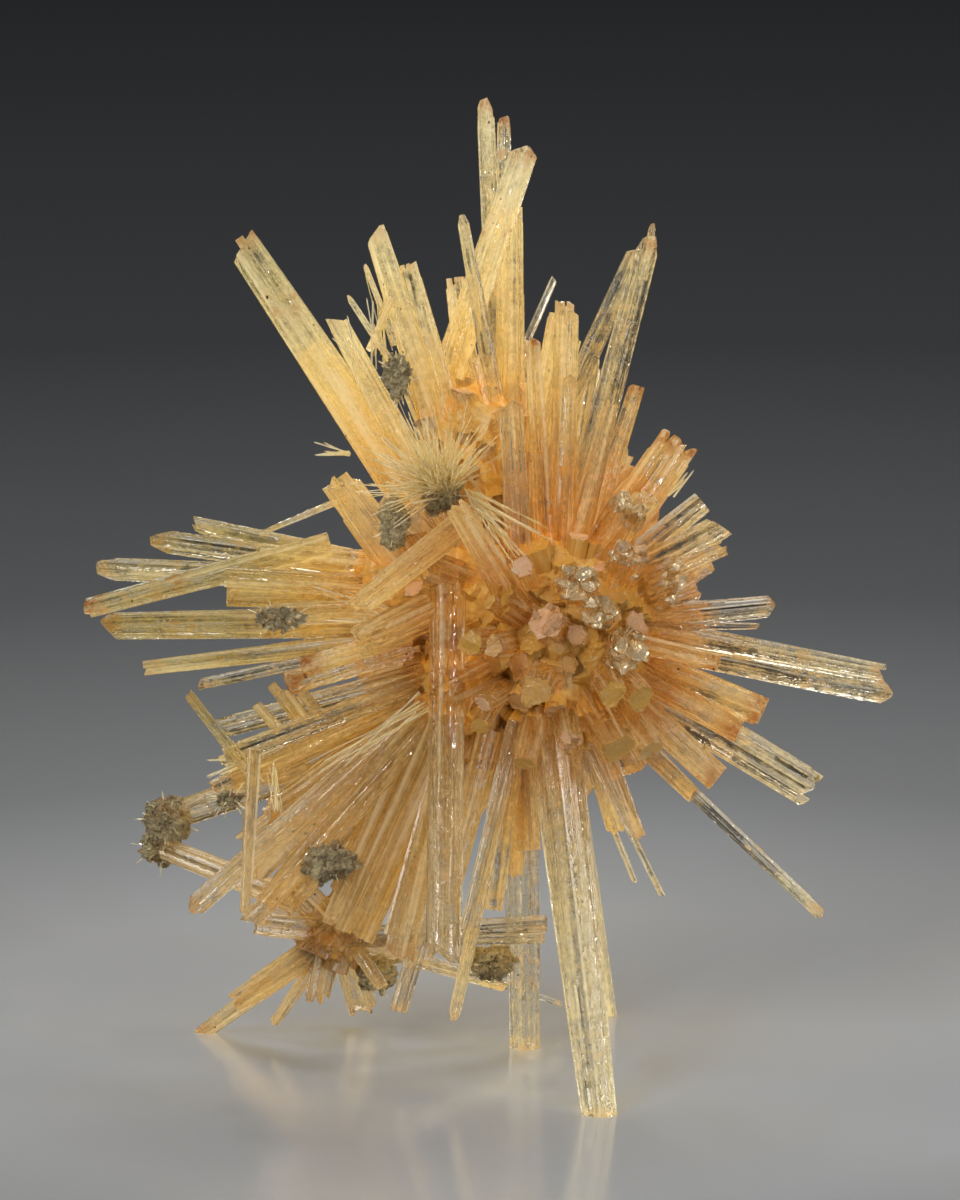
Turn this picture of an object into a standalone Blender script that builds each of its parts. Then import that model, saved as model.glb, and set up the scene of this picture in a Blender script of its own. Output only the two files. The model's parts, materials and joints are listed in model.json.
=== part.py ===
"""An aragonite cluster that stands on the tips of its crystals.

Honey-coloured prisms radiate from one lumpy core, and a smaller spray grows at its lower left.
Everything that grew together is one solid. Crumbs of the grey-green matrix sit in pockets between
the crystals, and each crumb is a piece of its own.

Positions are read as the viewer sees the cluster, in millimetres: across to the right, up, and
toward the viewer, from the point where the main crystals radiate. VIEW_TILT is how far the viewer
looks down, and stand() turns such a position into one above the surface that the cluster rests on.
"""

import math
import random
from collections import namedtuple

import bmesh
import bpy
from mathutils import Matrix, Vector, noise

MM = 0.001
VIEW_TILT = math.radians(12)
HUB_HEIGHT = 42.6  # of the radiating point above the surface
STANCE = Vector((5.973, 0.721, 0.0))  # puts the middle of the base over the origin
CRUMB_GAP = 0.3  # between a crumb and the crystals round its pocket
FLOOR_SLAB = 30.0  # depth of the slab that trims the feet flat
LOOSE = 3.0  # cubic millimetres: a larger piece that isn't grown on the rest is a mistake
# How far the hidden crystals may reach from the middle, by the direction seen from the front,
# anticlockwise from the right. They stay behind the crystals that the viewer sees.
BACK_OUTLINE = (15, 12, 14, 22, 25, 22, 15, 19, 21, 21, 22, 20, 15, 14, 12, 13)

Crystal = namedtuple("Crystal", "name root tip root_width tip_width flatness end")
Lump = namedtuple("Lump", "name centre radii")
Crumb = namedtuple("Crumb", "name centre radii roughness")

LUMPS = (
    Lump("ball", (1.5, -0.5, 0.5), (9.0, 11.0, 8.5)),
    Lump("crown_lump", (-7.5, 18, -1), (5.5, 7.5, 5.0)),
    Lump("left_lump", (-14.5, 4, -1), (6.0, 5.5, 5.0)),
    Lump("neck_lump", (-7.5, 4, 0), (5.5, 7.0, 6.0)),
    Lump("fan_lump", (-9.0, -6.5, 1), (5.0, 6.0, 5.5)),
    Lump("low_hub", (-21.6, -30.5, -6), (2.8, 2.6, 2.6)),
)

CROWN = (
    Crystal("spire_left", (-4.6, 14, -3), (-6.6, 53.3, -6), 2.8, 1.9, 0.75, "spear"),
    Crystal("spire_right", (-4.0, 14, -3), (-4.6, 51.5, -6), 2.4, 1.7, 0.75, "spear"),
    Crystal("twisted_blade", (-10.2, 25.5, -1), (-2.3, 48.6, -1), 3.6, 3.0, 0.5, "roof"),
    Crystal("crown_pillar", (-4.0, 11, -1), (-3.9, 42.8, -2), 3.8, 2.9, 0.7, "slant"),
    Crystal("crown_wing", (-7.5, 20, -1), (-9.6, 35.5, -2), 3.2, 2.2, 0.6, "slant"),
    Crystal("front_lath", (-5.3, 22, 1), (-8.8, 41.4, 3), 1.9, 1.2, 0.6, "spear"),
    Crystal("clear_sliver", (-3.6, 26, -1.8), (0.5, 35.3, -3), 0.9, 0.8, 0.8, "slant"),
    Crystal("twin_column", (1.0, 9, 2), (1.6, 33.2, 2), 3.0, 2.5, 0.7, "slant"),
    Crystal("orange_tip", (-0.4, 8, 3), (-1.7, 29.3, 5), 2.5, 1.9, 0.8, "roof"),
    Crystal("front_column", (-3.0, 7, 5), (-3.9, 23.2, 9), 3.1, 2.6, 0.8, "roof"),
    Crystal("slim_column", (0.9, 5, 3), (2.0, 25.6, 5), 2.2, 1.7, 0.8, "roof"),
    Crystal("leaning_lath", (-0.4, 18, -3), (8.9, 38.4, -2), 2.3, 1.8, 0.6, "slant"),
    Crystal("long_spear", (1.8, 8, 1), (10.0, 39.2, 1), 3.4, 2.4, 0.6, "spear"),
    Crystal("spear_point", (9.2, 35, 1), (10.3, 40.6, 1), 1.0, 0.7, 0.8, "spear"),
    Crystal("short_spear", (4.0, 9, 3), (8.8, 24.6, 4), 2.3, 1.8, 0.7, "roof"),
    Crystal("inner_spear", (2.5, 8, 3), (6.2, 23.0, 6), 2.4, 1.6, 0.7, "slant"),
    Crystal("left_sword", (-15.0, 15, 0), (-31.4, 39.5, -3), 5.0, 3.6, 0.6, "slant"),
    Crystal("sword_guard", (-13.0, 15, 1), (-21.7, 31.7, 0), 3.4, 2.0, 0.6, "slant"),
    Crystal("sword_cheek", (-13.5, 13, -1), (-24.3, 28.5, -2), 5.0, 3.0, 0.6, "slant"),
    Crystal("left_tower", (-10.4, 18, 1), (-17.6, 40.5, 1), 4.2, 2.6, 0.6, "slant"),
    Crystal("tower_step", (-9.2, 18, 1), (-14.3, 36.9, 1), 3.2, 2.0, 0.6, "slant"),
    Crystal("broken_flank", (-14.5, 6, 2), (-21.6, 15.6, 3), 4.6, 3.9, 0.6, "slant"),
)

LEFT = (
    Crystal("green_lath", (-20.0, 6.2, -1), (-39.8, 9.0, -3), 2.9, 2.5, 0.6, "spear"),
    Crystal("green_step", (-20.0, 7.0, -1), (-36.0, 10.7, -3), 2.4, 1.6, 0.6, "slant"),
    Crystal("green_blade", (-18.0, 5.0, -2), (-45.4, 6.2, -5), 2.9, 2.5, 0.6, "spear"),
    Crystal("brown_lath", (-22.0, 8.6, 0), (-46.5, 2.1, 2), 2.9, 2.2, 0.6, "spear"),
    Crystal("yellow_beam", (-18.0, 0.8, 0), (-45.4, 0.4, -1), 3.6, 3.1, 0.7, "roof"),
    Crystal("under_lath", (-18.0, -1.2, 0), (-41.0, -3.9, 0), 2.3, 1.7, 0.6, "slant"),
    Crystal("dark_sliver", (-14.0, -1.0, 1.2), (-35.3, -5.5, 3), 1.6, 1.3, 0.7, "slant"),
    Crystal("stub_low", (-14.0, -1.5, 4), (-26.2, -5.4, 6), 3.2, 2.9, 0.7, "flat"),
    Crystal("stub_high", (-14.0, -0.5, 5), (-24.8, -3.7, 7), 2.2, 2.0, 0.7, "flat"),
    Crystal("amber_beam", (-15.0, 4.2, 2), (-32.5, 5.4, 3), 2.8, 2.3, 0.7, "flat"),
    Crystal("amber_beam_low", (-15.0, 3.0, 1), (-32.6, 3.4, 1), 2.6, 2.2, 0.7, "slant"),
    Crystal("grey_beam", (-16.0, 2.0, 4), (-28.0, 1.6, 5), 2.8, 2.5, 0.7, "flat"),
    Crystal("upper_beam", (-15.0, 6.5, 0), (-30.0, 7.6, 0), 2.8, 2.1, 0.7, "slant"),
    Crystal("hanging_blade", (-7.5, 11.5, 6), (-19.6, 2.0, 12), 3.2, 2.7, 0.55, "roof"),
    Crystal("front_paddle", (-3.0, 2.0, 8), (-9.6, 12.6, 14), 3.8, 2.3, 0.55, "roof"),
    Crystal("pale_stub", (-12.0, 2.0, 5), (-19.3, -1.4, 10), 4.2, 3.6, 0.6, "slant"),
)

FAN = (
    Crystal("fan_beam", (-11.5, -6.5, 3), (-35.8, -27.9, 4), 3.2, 2.5, 0.5, "spear"),
    Crystal("fan_beam_low", (-11.0, -8.5, 3), (-30.4, -29.6, 3), 3.0, 2.3, 0.5, "slant"),
    Crystal("fan_top", (-11.5, -4.0, 3), (-33.2, -9.9, 4), 2.8, 2.4, 0.6, "slant"),
    Crystal("fan_high", (-11.5, -4.8, 4), (-32.4, -12.6, 5), 2.6, 2.2, 0.6, "flat"),
    Crystal("fan_mid", (-11.5, -5.6, 3), (-34.0, -16.2, 2), 2.8, 2.4, 0.6, "slant"),
    Crystal("fan_rear", (-11.5, -7.0, 0), (-31.0, -22.0, -2), 4.0, 3.2, 0.6, "slant"),
    Crystal("crossing_lath", (-29.0, -15.4, 5), (-36.2, -6.2, 5), 1.5, 1.2, 0.7, "slant"),
    Crystal("upright_lath", (-29.5, -12.0, 6), (-30.4, -28.3, 8), 1.7, 1.3, 0.7, "spear"),
    Crystal("amber_sail", (-11.0, -9.0, 2), (-20.6, -30.5, 2), 8.0, 6.8, 0.35, "slant"),
    Crystal("crusted_upper", (-24.0, -14.0, 0), (-38.0, -18.8, -4), 3.4, 3.0, 0.8, "flat"),
    Crystal("crusted_lower", (-25.5, -27.0, 0), (-38.6, -21.9, -5), 2.9, 2.5, 0.8, "flat"),
    Crystal("fan_under", (-12.0, -11.0, 1), (-26.5, -27.5, 0), 3.6, 2.8, 0.6, "slant"),
    Crystal("sail_side", (-9.0, -9.0, 1), (-15.8, -28.5, 1), 4.2, 3.8, 0.5, "slant"),
    Crystal("hub_stem", (-10.0, -9.0, -1), (-22.0, -31.5, -6.5), 5.0, 5.2, 0.6, "flat"),
    Crystal("hub_stem_rear", (-7.0, -9.0, -3), (-20.6, -31.5, -7.5), 4.0, 4.2, 0.6, "flat"),
)

LOW_SPRAY = (
    Crystal("foot_left", (-21.6, -30.5, -6), (-35.4, -40.9, -14), 3.2, 1.7, 0.75, "flat"),
    Crystal("foot_blade", (-22.5, -31.5, -6), (-31.9, -37.6, -11), 3.4, 2.6, 0.5, "slant"),
    Crystal("low_lath", (-22.0, -31.5, -7), (-27.8, -39.7, -9), 1.6, 1.2, 0.7, "spear"),
    Crystal("low_stub", (-22.0, -30.5, -6), (-23.4, -37.6, -6), 3.0, 2.6, 0.6, "slant"),
    Crystal("low_block", (-20.8, -30.5, -8), (-18.9, -38.5, -17), 3.6, 3.2, 0.6, "slant"),
    Crystal("yellow_fan", (-20.5, -30.0, -5), (-29.6, -29.0, -3), 3.4, 3.2, 0.6, "slant"),
    Crystal("yellow_fan_high", (-21.0, -30.5, -5), (-26.6, -24.5, -3), 3.6, 3.4, 0.6, "slant"),
    Crystal("low_prism", (-19.6, -31.5, -4), (-16.7, -35.8, -1), 1.6, 1.3, 0.8, "slant"),
    Crystal("cross_bar", (-21.0, -30.8, -4), (-0.4, -29.4, -1), 2.0, 1.9, 0.7, "flat"),
    Crystal("cross_bar_low", (-21.0, -31.2, -4), (-0.6, -30.8, -1), 1.5, 1.3, 0.8, "flat"),
    Crystal("rear_bar", (-20.5, -31.0, -6), (-4.2, -36.0, -11), 2.0, 1.3, 0.7, "slant"),
    Crystal("rear_needle", (-7.0, -35.0, -10.5), (1.4, -37.8, -13), 0.9, 0.6, 0.8, "slant"),
)

HANGING = (
    Crystal("front_foot", (0.0, -8.0, 5), (4.9, -49.4, 20.6), 5.8, 3.7, 0.55, "flat"),
    Crystal("clear_foot", (-3.0, -11.0, -1), (-2.5, -43.2, -7.4), 3.8, 3.6, 0.6, "flat"),
    Crystal("rear_foot", (1.0, -9.0, -5), (6.0, -40.4, -21.8), 3.4, 2.2, 0.7, "flat"),
    Crystal("front_pillar", (-10.2, 4.5, 5.5), (-10.6, -33.0, 14), 3.6, 3.5, 0.7, "slant"),
    Crystal("spade", (-9.5, -9.0, 4), (-15.3, -32.9, 11), 2.2, 4.0, 0.45, "roof"),
    Crystal("long_lath", (-3.0, -8.0, 3), (-9.7, -38.9, 6), 1.7, 1.2, 0.7, "spear"),
    Crystal("glass_lath", (-6.5, -9.0, 1), (-15.2, -38.1, 0), 2.6, 2.0, 0.7, "flat"),
    Crystal("amber_post", (-3.8, -10.0, 2), (-6.0, -27.8, 1), 3.6, 3.0, 0.6, "flat"),
    Crystal("amber_post_left", (-6.0, -10.0, 4), (-10.6, -28.0, 5), 3.0, 2.4, 0.6, "slant"),
    Crystal("needle_post", (-3.5, -9.0, 6), (-8.6, -30.0, 8), 1.6, 1.1, 0.7, "spear"),
    Crystal("short_fang", (3.4, -6.5, -1.5), (9.1, -21.1, -2), 2.4, 1.5, 0.6, "slant"),
    Crystal("short_fang_left", (2.8, -6.5, -3), (6.7, -20.6, -5), 2.6, 1.9, 0.6, "slant"),
    Crystal("right_needle", (2.0, -8.0, 1), (11.3, -26.7, 2), 0.9, 0.7, 0.8, "slant"),
    Crystal("fine_needle", (1.5, -8.0, -2.5), (8.6, -25.4, -6), 0.7, 0.6, 0.8, "slant"),
)

RIGHT = (
    Crystal("orange_block", (4.5, 6.5, 0), (13.2, 19.3, -1), 5.0, 4.7, 0.5, "roof"),
    Crystal("pale_step_top", (6.0, 5.5, 1), (15.2, 12.8, 1), 2.8, 2.5, 0.8, "flat"),
    Crystal("pale_step", (6.0, 4.5, 2), (17.6, 10.6, 2), 2.8, 2.5, 0.8, "slant"),
    Crystal("pale_step_low", (6.0, 3.5, 0), (17.8, 8.5, 0), 2.7, 2.3, 0.8, "slant"),
    Crystal("clear_stub", (7.0, 0.8, 3), (22.9, 2.4, 3), 2.9, 2.4, 0.75, "roof"),
    Crystal("thin_rod", (7.0, 0.4, 4), (20.9, 0.4, 4), 1.3, 0.8, 0.8, "roof"),
    Crystal("long_beam", (7.0, 0.6, 3), (33.8, -4.5, 4), 2.8, 2.2, 0.75, "slant"),
    Crystal("long_beam_low", (7.0, -0.8, 2), (34.6, -6.5, 2), 3.1, 2.6, 0.75, "roof"),
    Crystal("banded_stub", (7.0, -0.8, 5), (16.7, -3.3, 7), 2.3, 2.0, 0.75, "flat"),
    Crystal("orange_stub", (7.0, -2.5, 3), (21.2, -8.3, 3), 3.6, 3.3, 0.7, "flat"),
    Crystal("orange_stub_low", (7.0, -3.5, 4), (18.8, -10.2, 5), 3.0, 2.6, 0.7, "flat"),
    Crystal("wide_prism", (7.0, -4.5, 2), (26.6, -16.4, 2), 4.4, 4.2, 0.55, "roof"),
    Crystal("banded_prism", (7.5, -6.5, 5), (16.7, -14.8, 6), 3.4, 3.1, 0.7, "flat"),
    Crystal("long_rod", (5.0, -7.5, 3.5), (27.2, -28.5, 6), 1.4, 1.2, 0.85, "roof"),
    Crystal("rod_base", (6.5, -8.8, 3), (14.6, -16.8, 4), 2.4, 1.8, 0.75, "slant"),
    Crystal("upper_stub", (5.0, 7.0, 3), (10.0, 13.6, 5), 3.6, 3.2, 0.7, "slant"),
)

# Short or thin crystals that stand on the larger ones.
SMALL = (
    Crystal("tower_needle", (-15.4, 28.5, 1), (-18.5, 36.5, 2), 0.9, 0.6, 0.8, "spear"),
    Crystal("tower_needle_low", (-16.0, 27.0, 1), (-20.2, 33.4, 3), 0.8, 0.6, 0.8, "spear"),
    Crystal("tower_needle_cross", (-18.0, 28.0, 0), (-15.7, 33.2, 3), 0.9, 0.7, 0.8, "slant"),
    Crystal("flank_needle", (-19.5, 13.6, 2.5), (-29.2, 9.5, 4), 0.9, 0.6, 0.8, "slant"),
    Crystal("saw_tooth_a", (-25.0, -9.0, 3.5), (-27.8, -5.4, 4.5), 1.4, 1.1, 0.8, "flat"),
    Crystal("saw_tooth_b", (-24.5, -8.8, 3.5), (-26.5, -5.9, 5.5), 1.3, 1.0, 0.8, "slant"),
    Crystal("saw_tooth_c", (-23.0, -8.5, 3.5), (-25.2, -5.7, 5.0), 1.4, 1.1, 0.8, "slant"),
    Crystal("saw_tooth_d", (-27.0, -10.0, 4.0), (-29.3, -7.4, 4.5), 1.3, 1.1, 0.8, "flat"),
)

# The stout crystals that end near the viewer, with their broken or six-sided ends facing out.
FACING = (
    Crystal("hex_top", (-1.5, 3.5, 4), (-2.8, 6.3, 11.5), 2.8, 2.5, 0.85, "flat"),
    Crystal("hex_left_pink", (-5.0, -1.0, 4), (-8.0, -1.3, 11.5), 3.2, 2.9, 0.9, "flat"),
    Crystal("hex_left_pale", (-3.5, -1.2, 4), (-5.7, -1.6, 12.0), 3.0, 2.6, 0.7, "flat"),
    Crystal("hex_rust", (-5.0, -6.0, 4), (-7.1, -9.6, 11.0), 2.6, 2.3, 0.9, "flat"),
    Crystal("hex_rust_high", (-4.0, -5.5, 4), (-6.8, -7.3, 11.0), 2.6, 2.2, 0.6, "flat"),
    Crystal("hex_middle", (-0.5, -4.0, 4), (-1.5, -6.2, 13.0), 4.6, 4.0, 0.85, "flat"),
    Crystal("hex_centre", (1.0, 0.0, 4), (-0.5, 1.0, 12.0), 4.6, 4.0, 0.85, "slant"),
    Crystal("glitter_high", (2.0, 3.0, 4), (2.8, 5.2, 12.5), 5.0, 4.6, 0.8, "slant"),
    Crystal("glitter_mid", (4.0, 2.0, 4), (4.9, 1.8, 12.5), 4.6, 4.2, 0.8, "slant"),
    Crystal("glitter_right", (6.0, 3.5, 3), (8.2, 8.4, 9.5), 4.8, 4.4, 0.8, "slant"),
    Crystal("glitter_top", (5.5, 8.0, 2), (8.4, 13.0, 7.0), 5.0, 4.6, 0.7, "slant"),
    Crystal("glitter_far", (8.0, 3.0, 2), (13.6, 5.4, 6.5), 5.4, 5.0, 0.7, "slant"),
    Crystal("glitter_low", (5.0, -1.0, 4), (8.0, -2.4, 11.5), 6.0, 5.4, 0.7, "slant"),
    Crystal("flat_rose", (4.5, -3.0, 4), (6.2, -6.4, 12.5), 4.0, 3.4, 0.8, "flat"),
    Crystal("flat_amber", (6.0, -4.0, 4), (9.0, -6.9, 11.0), 4.4, 3.8, 0.7, "flat"),
    Crystal("rose_low", (3.5, -6.0, 4), (6.8, -11.8, 10.5), 4.8, 4.4, 0.85, "flat"),
    Crystal("rose_right", (6.0, -6.0, 3), (10.0, -12.0, 8.0), 3.8, 3.2, 0.7, "flat"),
    Crystal("low_middle", (1.0, -6.0, 4), (2.0, -11.4, 11.0), 3.4, 3.0, 0.8, "slant"),
    Crystal("low_left", (-1.0, -7.0, 4), (-2.6, -13.3, 9.5), 3.0, 2.6, 0.8, "flat"),
    Crystal("amber_high", (-1.0, 1.0, 4), (-5.6, 3.8, 11.0), 4.8, 4.2, 0.7, "slant"),
    Crystal("amber_left", (-6.0, -4.0, 4), (-11.0, -6.4, 8.5), 4.0, 3.4, 0.7, "slant"),
    Crystal("amber_shoulder", (-6.0, 4.0, 3), (-12.6, 6.6, 7.0), 4.4, 3.8, 0.7, "slant"),
)

CRUMBS = (
    Crumb("matrix_tuft_base", (-11.0, 13.6, 5.6), (2.3, 2.2, 1.8), 0.22),
    Crumb("matrix_left_plate", (-15.6, 10.6, 5.6), (1.7, 2.9, 1.3), 0.22),
    Crumb("matrix_tower_side", (-15.2, 25.3, 3.2), (1.5, 2.6, 1.3), 0.22),
    Crumb("matrix_left_beam", (-27.0, 1.1, 7.2), (2.6, 1.3, 1.2), 0.25),
    Crumb("matrix_upper_cap", (-38.4, -19.0, -3.6), (2.7, 2.5, 2.5), 0.20),
    Crumb("matrix_lower_cap", (-39.0, -21.8, -7.6), (2.2, 2.0, 2.0), 0.20),
    Crumb("matrix_fan", (-22.0, -23.2, 3.4), (3.0, 2.2, 1.8), 0.24),
    Crumb("matrix_fan_top", (-32.0, -16.8, 6.2), (1.7, 1.0, 1.1), 0.22),
    Crumb("matrix_low_hub", (-17.4, -34.4, -7.0), (2.4, 2.1, 1.9), 0.24),
    Crumb("matrix_under_bars", (-5.8, -33.4, -4.8), (2.6, 2.0, 1.7), 0.24),
)


def stand():
    """The matrix from a position as the viewer reads it, in millimetres, to one over the surface."""
    down, level = math.sin(VIEW_TILT), math.cos(VIEW_TILT)
    turn = Matrix(((1, 0, 0, 0), (0, down, -level, 0), (0, level, down, 0), (0, 0, 0, 1)))
    place = Matrix.Translation(STANCE + Vector((0, 0, HUB_HEIGHT)))
    return Matrix.Scale(MM, 4) @ place @ turn


def lean(root, tip, roll):
    """Axes of a crystal from root to tip, its broad side to the viewer apart from a small roll."""
    axis = (tip - root).normalized()
    broad = Vector((0, 0, 1)).cross(axis)
    if broad.length < 0.2:
        broad = Vector((0, 1, 0)).cross(axis)
    broad.normalize()
    axes = Matrix((broad, axis.cross(broad), axis)).transposed().to_4x4()
    return Matrix.Translation(root) @ axes @ Matrix.Rotation(roll, 4, "Z")


def cut_end(bm, length, tilt, toward):
    """Cuts a crystal's top by one plane through the axis at length, tilted from flat toward a side."""
    normal = Vector((math.sin(tilt) * math.cos(toward), math.sin(tilt) * math.sin(toward), math.cos(tilt)))
    everything = bm.verts[:] + bm.edges[:] + bm.faces[:]
    bmesh.ops.bisect_plane(
        bm, geom=everything, plane_co=(0, 0, length), plane_no=normal, clear_outer=True
    )
    open_edges = [edge for edge in bm.edges if edge.is_boundary]
    bmesh.ops.holes_fill(bm, edges=open_edges, sides=0)


def end_planes(end, width, chance):
    """The cuts that make one kind of end: how far below the tip, how tilted, and toward which side."""
    if end == "flat":
        return [(0.0, math.radians(chance.uniform(2, 7)), chance.uniform(0, math.tau))]
    if end == "slant":
        side = chance.choice((0.0, math.pi))
        return [(0.22 * width, math.radians(chance.uniform(22, 36)), side + chance.uniform(-0.5, 0.5))]
    if end == "roof":
        tilt = math.radians(chance.uniform(34, 46))
        skew = chance.uniform(-0.12, 0.12) * width
        return [(-skew, tilt, 0.0), (skew, tilt, math.pi)]
    steep = math.radians(chance.uniform(66, 71))
    rise = chance.uniform(0.14, 0.2) * width * math.tan(steep)
    blunt = math.radians(20)
    return [(-rise, steep, 0.0), (-rise, steep, math.pi), (0.0, blunt, chance.uniform(0, math.tau))]


def crystal_mesh(crystal):
    """A six-sided prism from root to tip, tapered and cut to its end."""
    chance = random.Random(crystal.name)
    root, tip = Vector(crystal.root), Vector(crystal.tip)
    length = (tip - root).length
    spare = crystal.tip_width
    bm = bmesh.new()
    grow = crystal.root_width + (crystal.tip_width - crystal.root_width) * (length + spare) / length
    bmesh.ops.create_cone(
        bm,
        cap_ends=True,
        segments=6,
        radius1=crystal.root_width / 2,
        radius2=grow / 2,
        depth=length + spare,
        matrix=Matrix.Translation((0, 0, (length + spare) / 2)) @ Matrix.Rotation(math.pi / 6, 4, "Z"),
    )
    uneven = [chance.uniform(0.88, 1.06) for _ in range(6)]
    for vert in bm.verts:
        side = round(math.atan2(vert.co.y, vert.co.x) / (math.pi / 3)) % 6
        vert.co.x *= uneven[side]
        vert.co.y *= uneven[side] * crystal.flatness / math.cos(math.pi / 6)
    for drop, tilt, toward in end_planes(crystal.end, crystal.tip_width, chance):
        cut_end(bm, length - drop, tilt, toward)
    bm.transform(stand() @ lean(root, tip, chance.uniform(-0.35, 0.35)))
    mesh = bpy.data.meshes.new(crystal.name)
    bm.to_mesh(mesh)
    bm.free()
    return mesh


def lumpy_mesh(name, centre, radii, roughness):
    """An uneven rounded lump. Its name picks its unevenness."""
    bm = bmesh.new()
    bmesh.ops.create_icosphere(bm, subdivisions=2, radius=1.0)
    drift = Vector([random.Random(name).uniform(0, 50) for _ in range(3)])
    for vert in bm.verts:
        out = vert.co.normalized()
        bulge = 1 + roughness * noise.noise(out * 2.3 + drift)
        vert.co = Vector([out[i] * radii[i] * bulge for i in range(3)])
    bm.transform(stand() @ Matrix.Translation(centre))
    mesh = bpy.data.meshes.new(name)
    bm.to_mesh(mesh)
    bm.free()
    return mesh


def spread_fan(name, hub, start, finish, count, reach, width, toward):
    """Slim parallel-sided crystals that fill the fan between two directions in the viewer's plane."""
    chance = random.Random(name)
    made = []
    for i in range(count):
        angle = math.radians(start + (finish - start) * (i + chance.uniform(0.2, 0.8)) / count)
        out = chance.uniform(*reach)
        near = chance.uniform(*toward)
        tip = (hub[0] + out * math.cos(angle), hub[1] + out * math.sin(angle), hub[2] + near)
        broad = chance.uniform(*width)
        end = chance.choice(("slant", "flat", "roof"))
        made.append(Crystal(f"{name}_{i}", hub, tip, broad * 1.25, broad, 0.7, end))
    return made


def back_burst(count):
    """Crystals on the side that the viewer doesn't see, evenly spread, with stout ones between."""
    chance = random.Random("back")
    made = []
    for i in range(count):
        depth = 1 - (i + 0.5) / count * 0.78
        ring = math.sqrt(1 - depth * depth)
        around = i * math.pi * (3 - math.sqrt(5)) % math.tau
        across, up = ring * math.cos(around), ring * math.sin(around)
        outline = BACK_OUTLINE[int(around / math.tau * len(BACK_OUTLINE))]
        if i % 3 == 1:
            reach, broad, end = chance.uniform(12.5, 15.5), chance.uniform(4.4, 5.6), "flat"
        else:
            reach = min(chance.uniform(21, 33), outline / max(ring, 0.2))
            broad = chance.uniform(2.2, 4.0)
            end = chance.choice(("slant", "flat", "roof", "spear"))
        hub = (-5.5 if across < 0 else 0.5, 6.0 if up > 0.3 else -2.0, 0.0)
        tip = (hub[0] + across * reach, hub[1] + up * reach, -depth * reach)
        made.append(Crystal(f"back_{i}", hub, tip, broad * 1.2, broad, 0.65, end))
    return made


def tuft(count):
    """The thin crystals of the needle tuft at the upper left, which reach as far as its needles."""
    chance = random.Random("tuft")
    made = []
    for i in range(count):
        angle = math.radians(55 + 145 * (i + 0.5) / count)
        reach = chance.uniform(5.4, 7.2)
        near = chance.uniform(3, 9)
        tip = (-11.0 + reach * math.cos(angle), 14.2 + reach * math.sin(angle), near)
        made.append(Crystal(f"tuft_{i}", (-9.5, 14.0, 1.5), tip, 1.6, 0.9, 0.8, "spear"))
    return made


def all_crystals():
    """Every crystal of the cluster: those that were read one by one, and those that fill between."""
    made = list(CROWN + LEFT + FAN + LOW_SPRAY + HANGING + RIGHT + SMALL + FACING)
    made += tuft(12)
    made += spread_fan("fan_fill", (-11, -6, 2), 196, 232, 7, (19, 28), (1.8, 2.6), (-4, 1))
    made += spread_fan("left_fill", (-14, 3, 0), 168, 196, 4, (13, 19), (1.8, 2.6), (-4, 2))
    made += spread_fan("crown_fill", (-3, 10, 0), 71, 122, 7, (15, 22), (2.0, 3.0), (-6, 2))
    made += spread_fan("right_fill", (5, 0, 0), -46, 44, 6, (9, 13), (2.2, 3.2), (-5, 1))
    made += spread_fan("hanging_fill", (-3, -9, 1), 238, 282, 4, (12, 18), (1.8, 2.8), (-6, 0))
    made += back_burst(38)
    return made


def hidden(mesh, collection):
    """A shape that only joins or cuts others."""
    shape = bpy.data.objects.new(mesh.name, mesh)
    shape.hide_render = True
    shape.display_type = "WIRE"
    collection.objects.link(shape)
    return shape


def floor_slab():
    """Everything below the surface that the cluster rests on."""
    bpy.ops.mesh.primitive_cube_add(size=1)
    slab = bpy.context.object
    slab.dimensions = (200 * MM, 200 * MM, FLOOR_SLAB * MM)
    slab.location = (0, 0, -FLOOR_SLAB * MM / 2)
    bpy.ops.object.transform_apply(location=True, scale=True)
    mesh = slab.data
    mesh.name = "floor_slab"
    bpy.data.objects.remove(slab)
    return mesh


def combine(body, operation, collection):
    """Joins a collection's shapes to a body, or cuts them from it."""
    step = body.modifiers.new(operation.lower(), "BOOLEAN")
    step.operation = operation
    step.operand_type = "COLLECTION"
    step.collection = collection
    step.solver = "EXACT"
    step.use_self = True


def shell_volume(faces):
    """Positive for a solid and negative for a void."""
    total = 0.0
    for face in faces:
        corners = [vert.co for vert in face.verts]
        for second, third in zip(corners[1:], corners[2:]):
            total += corners[0].dot(second.cross(third)) / 6
    return total


def outer_skin(mesh):
    """Deletes the walls of voids that crystals close off, and the crumbs' cut-off splinters."""
    bm = bmesh.new()
    bm.from_mesh(mesh)
    left = set(bm.faces)
    shells = []
    while left:
        shell, edge = set(), {left.pop()}
        while edge:
            face = edge.pop()
            shell.add(face)
            around = {other for side in face.edges for other in side.link_faces}
            edge |= around & left
            left -= around
        shells.append(shell)
    shells.remove(max(shells, key=len))
    loose = [shell for shell in shells if shell_volume(shell) > LOOSE * MM**3]
    if loose:
        spots = [tuple(next(iter(shell)).calc_center_median() / MM) for shell in loose]
        raise ValueError(f"the pieces at these places, in mm, aren't grown on the rest: {spots}")
    bmesh.ops.delete(bm, geom=[face for shell in shells for face in shell], context="FACES")
    bm.to_mesh(mesh)
    bm.free()


def finish(name, colour, roughness):
    """A plain material for one kind of stone."""
    material = bpy.data.materials.new(name)
    material.use_nodes = True
    shader = material.node_tree.nodes["Principled BSDF"]
    shader.inputs["Base Color"].default_value = (*colour, 1)
    shader.inputs["Roughness"].default_value = roughness
    shader.inputs["Metallic"].default_value = 0
    return material


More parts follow.
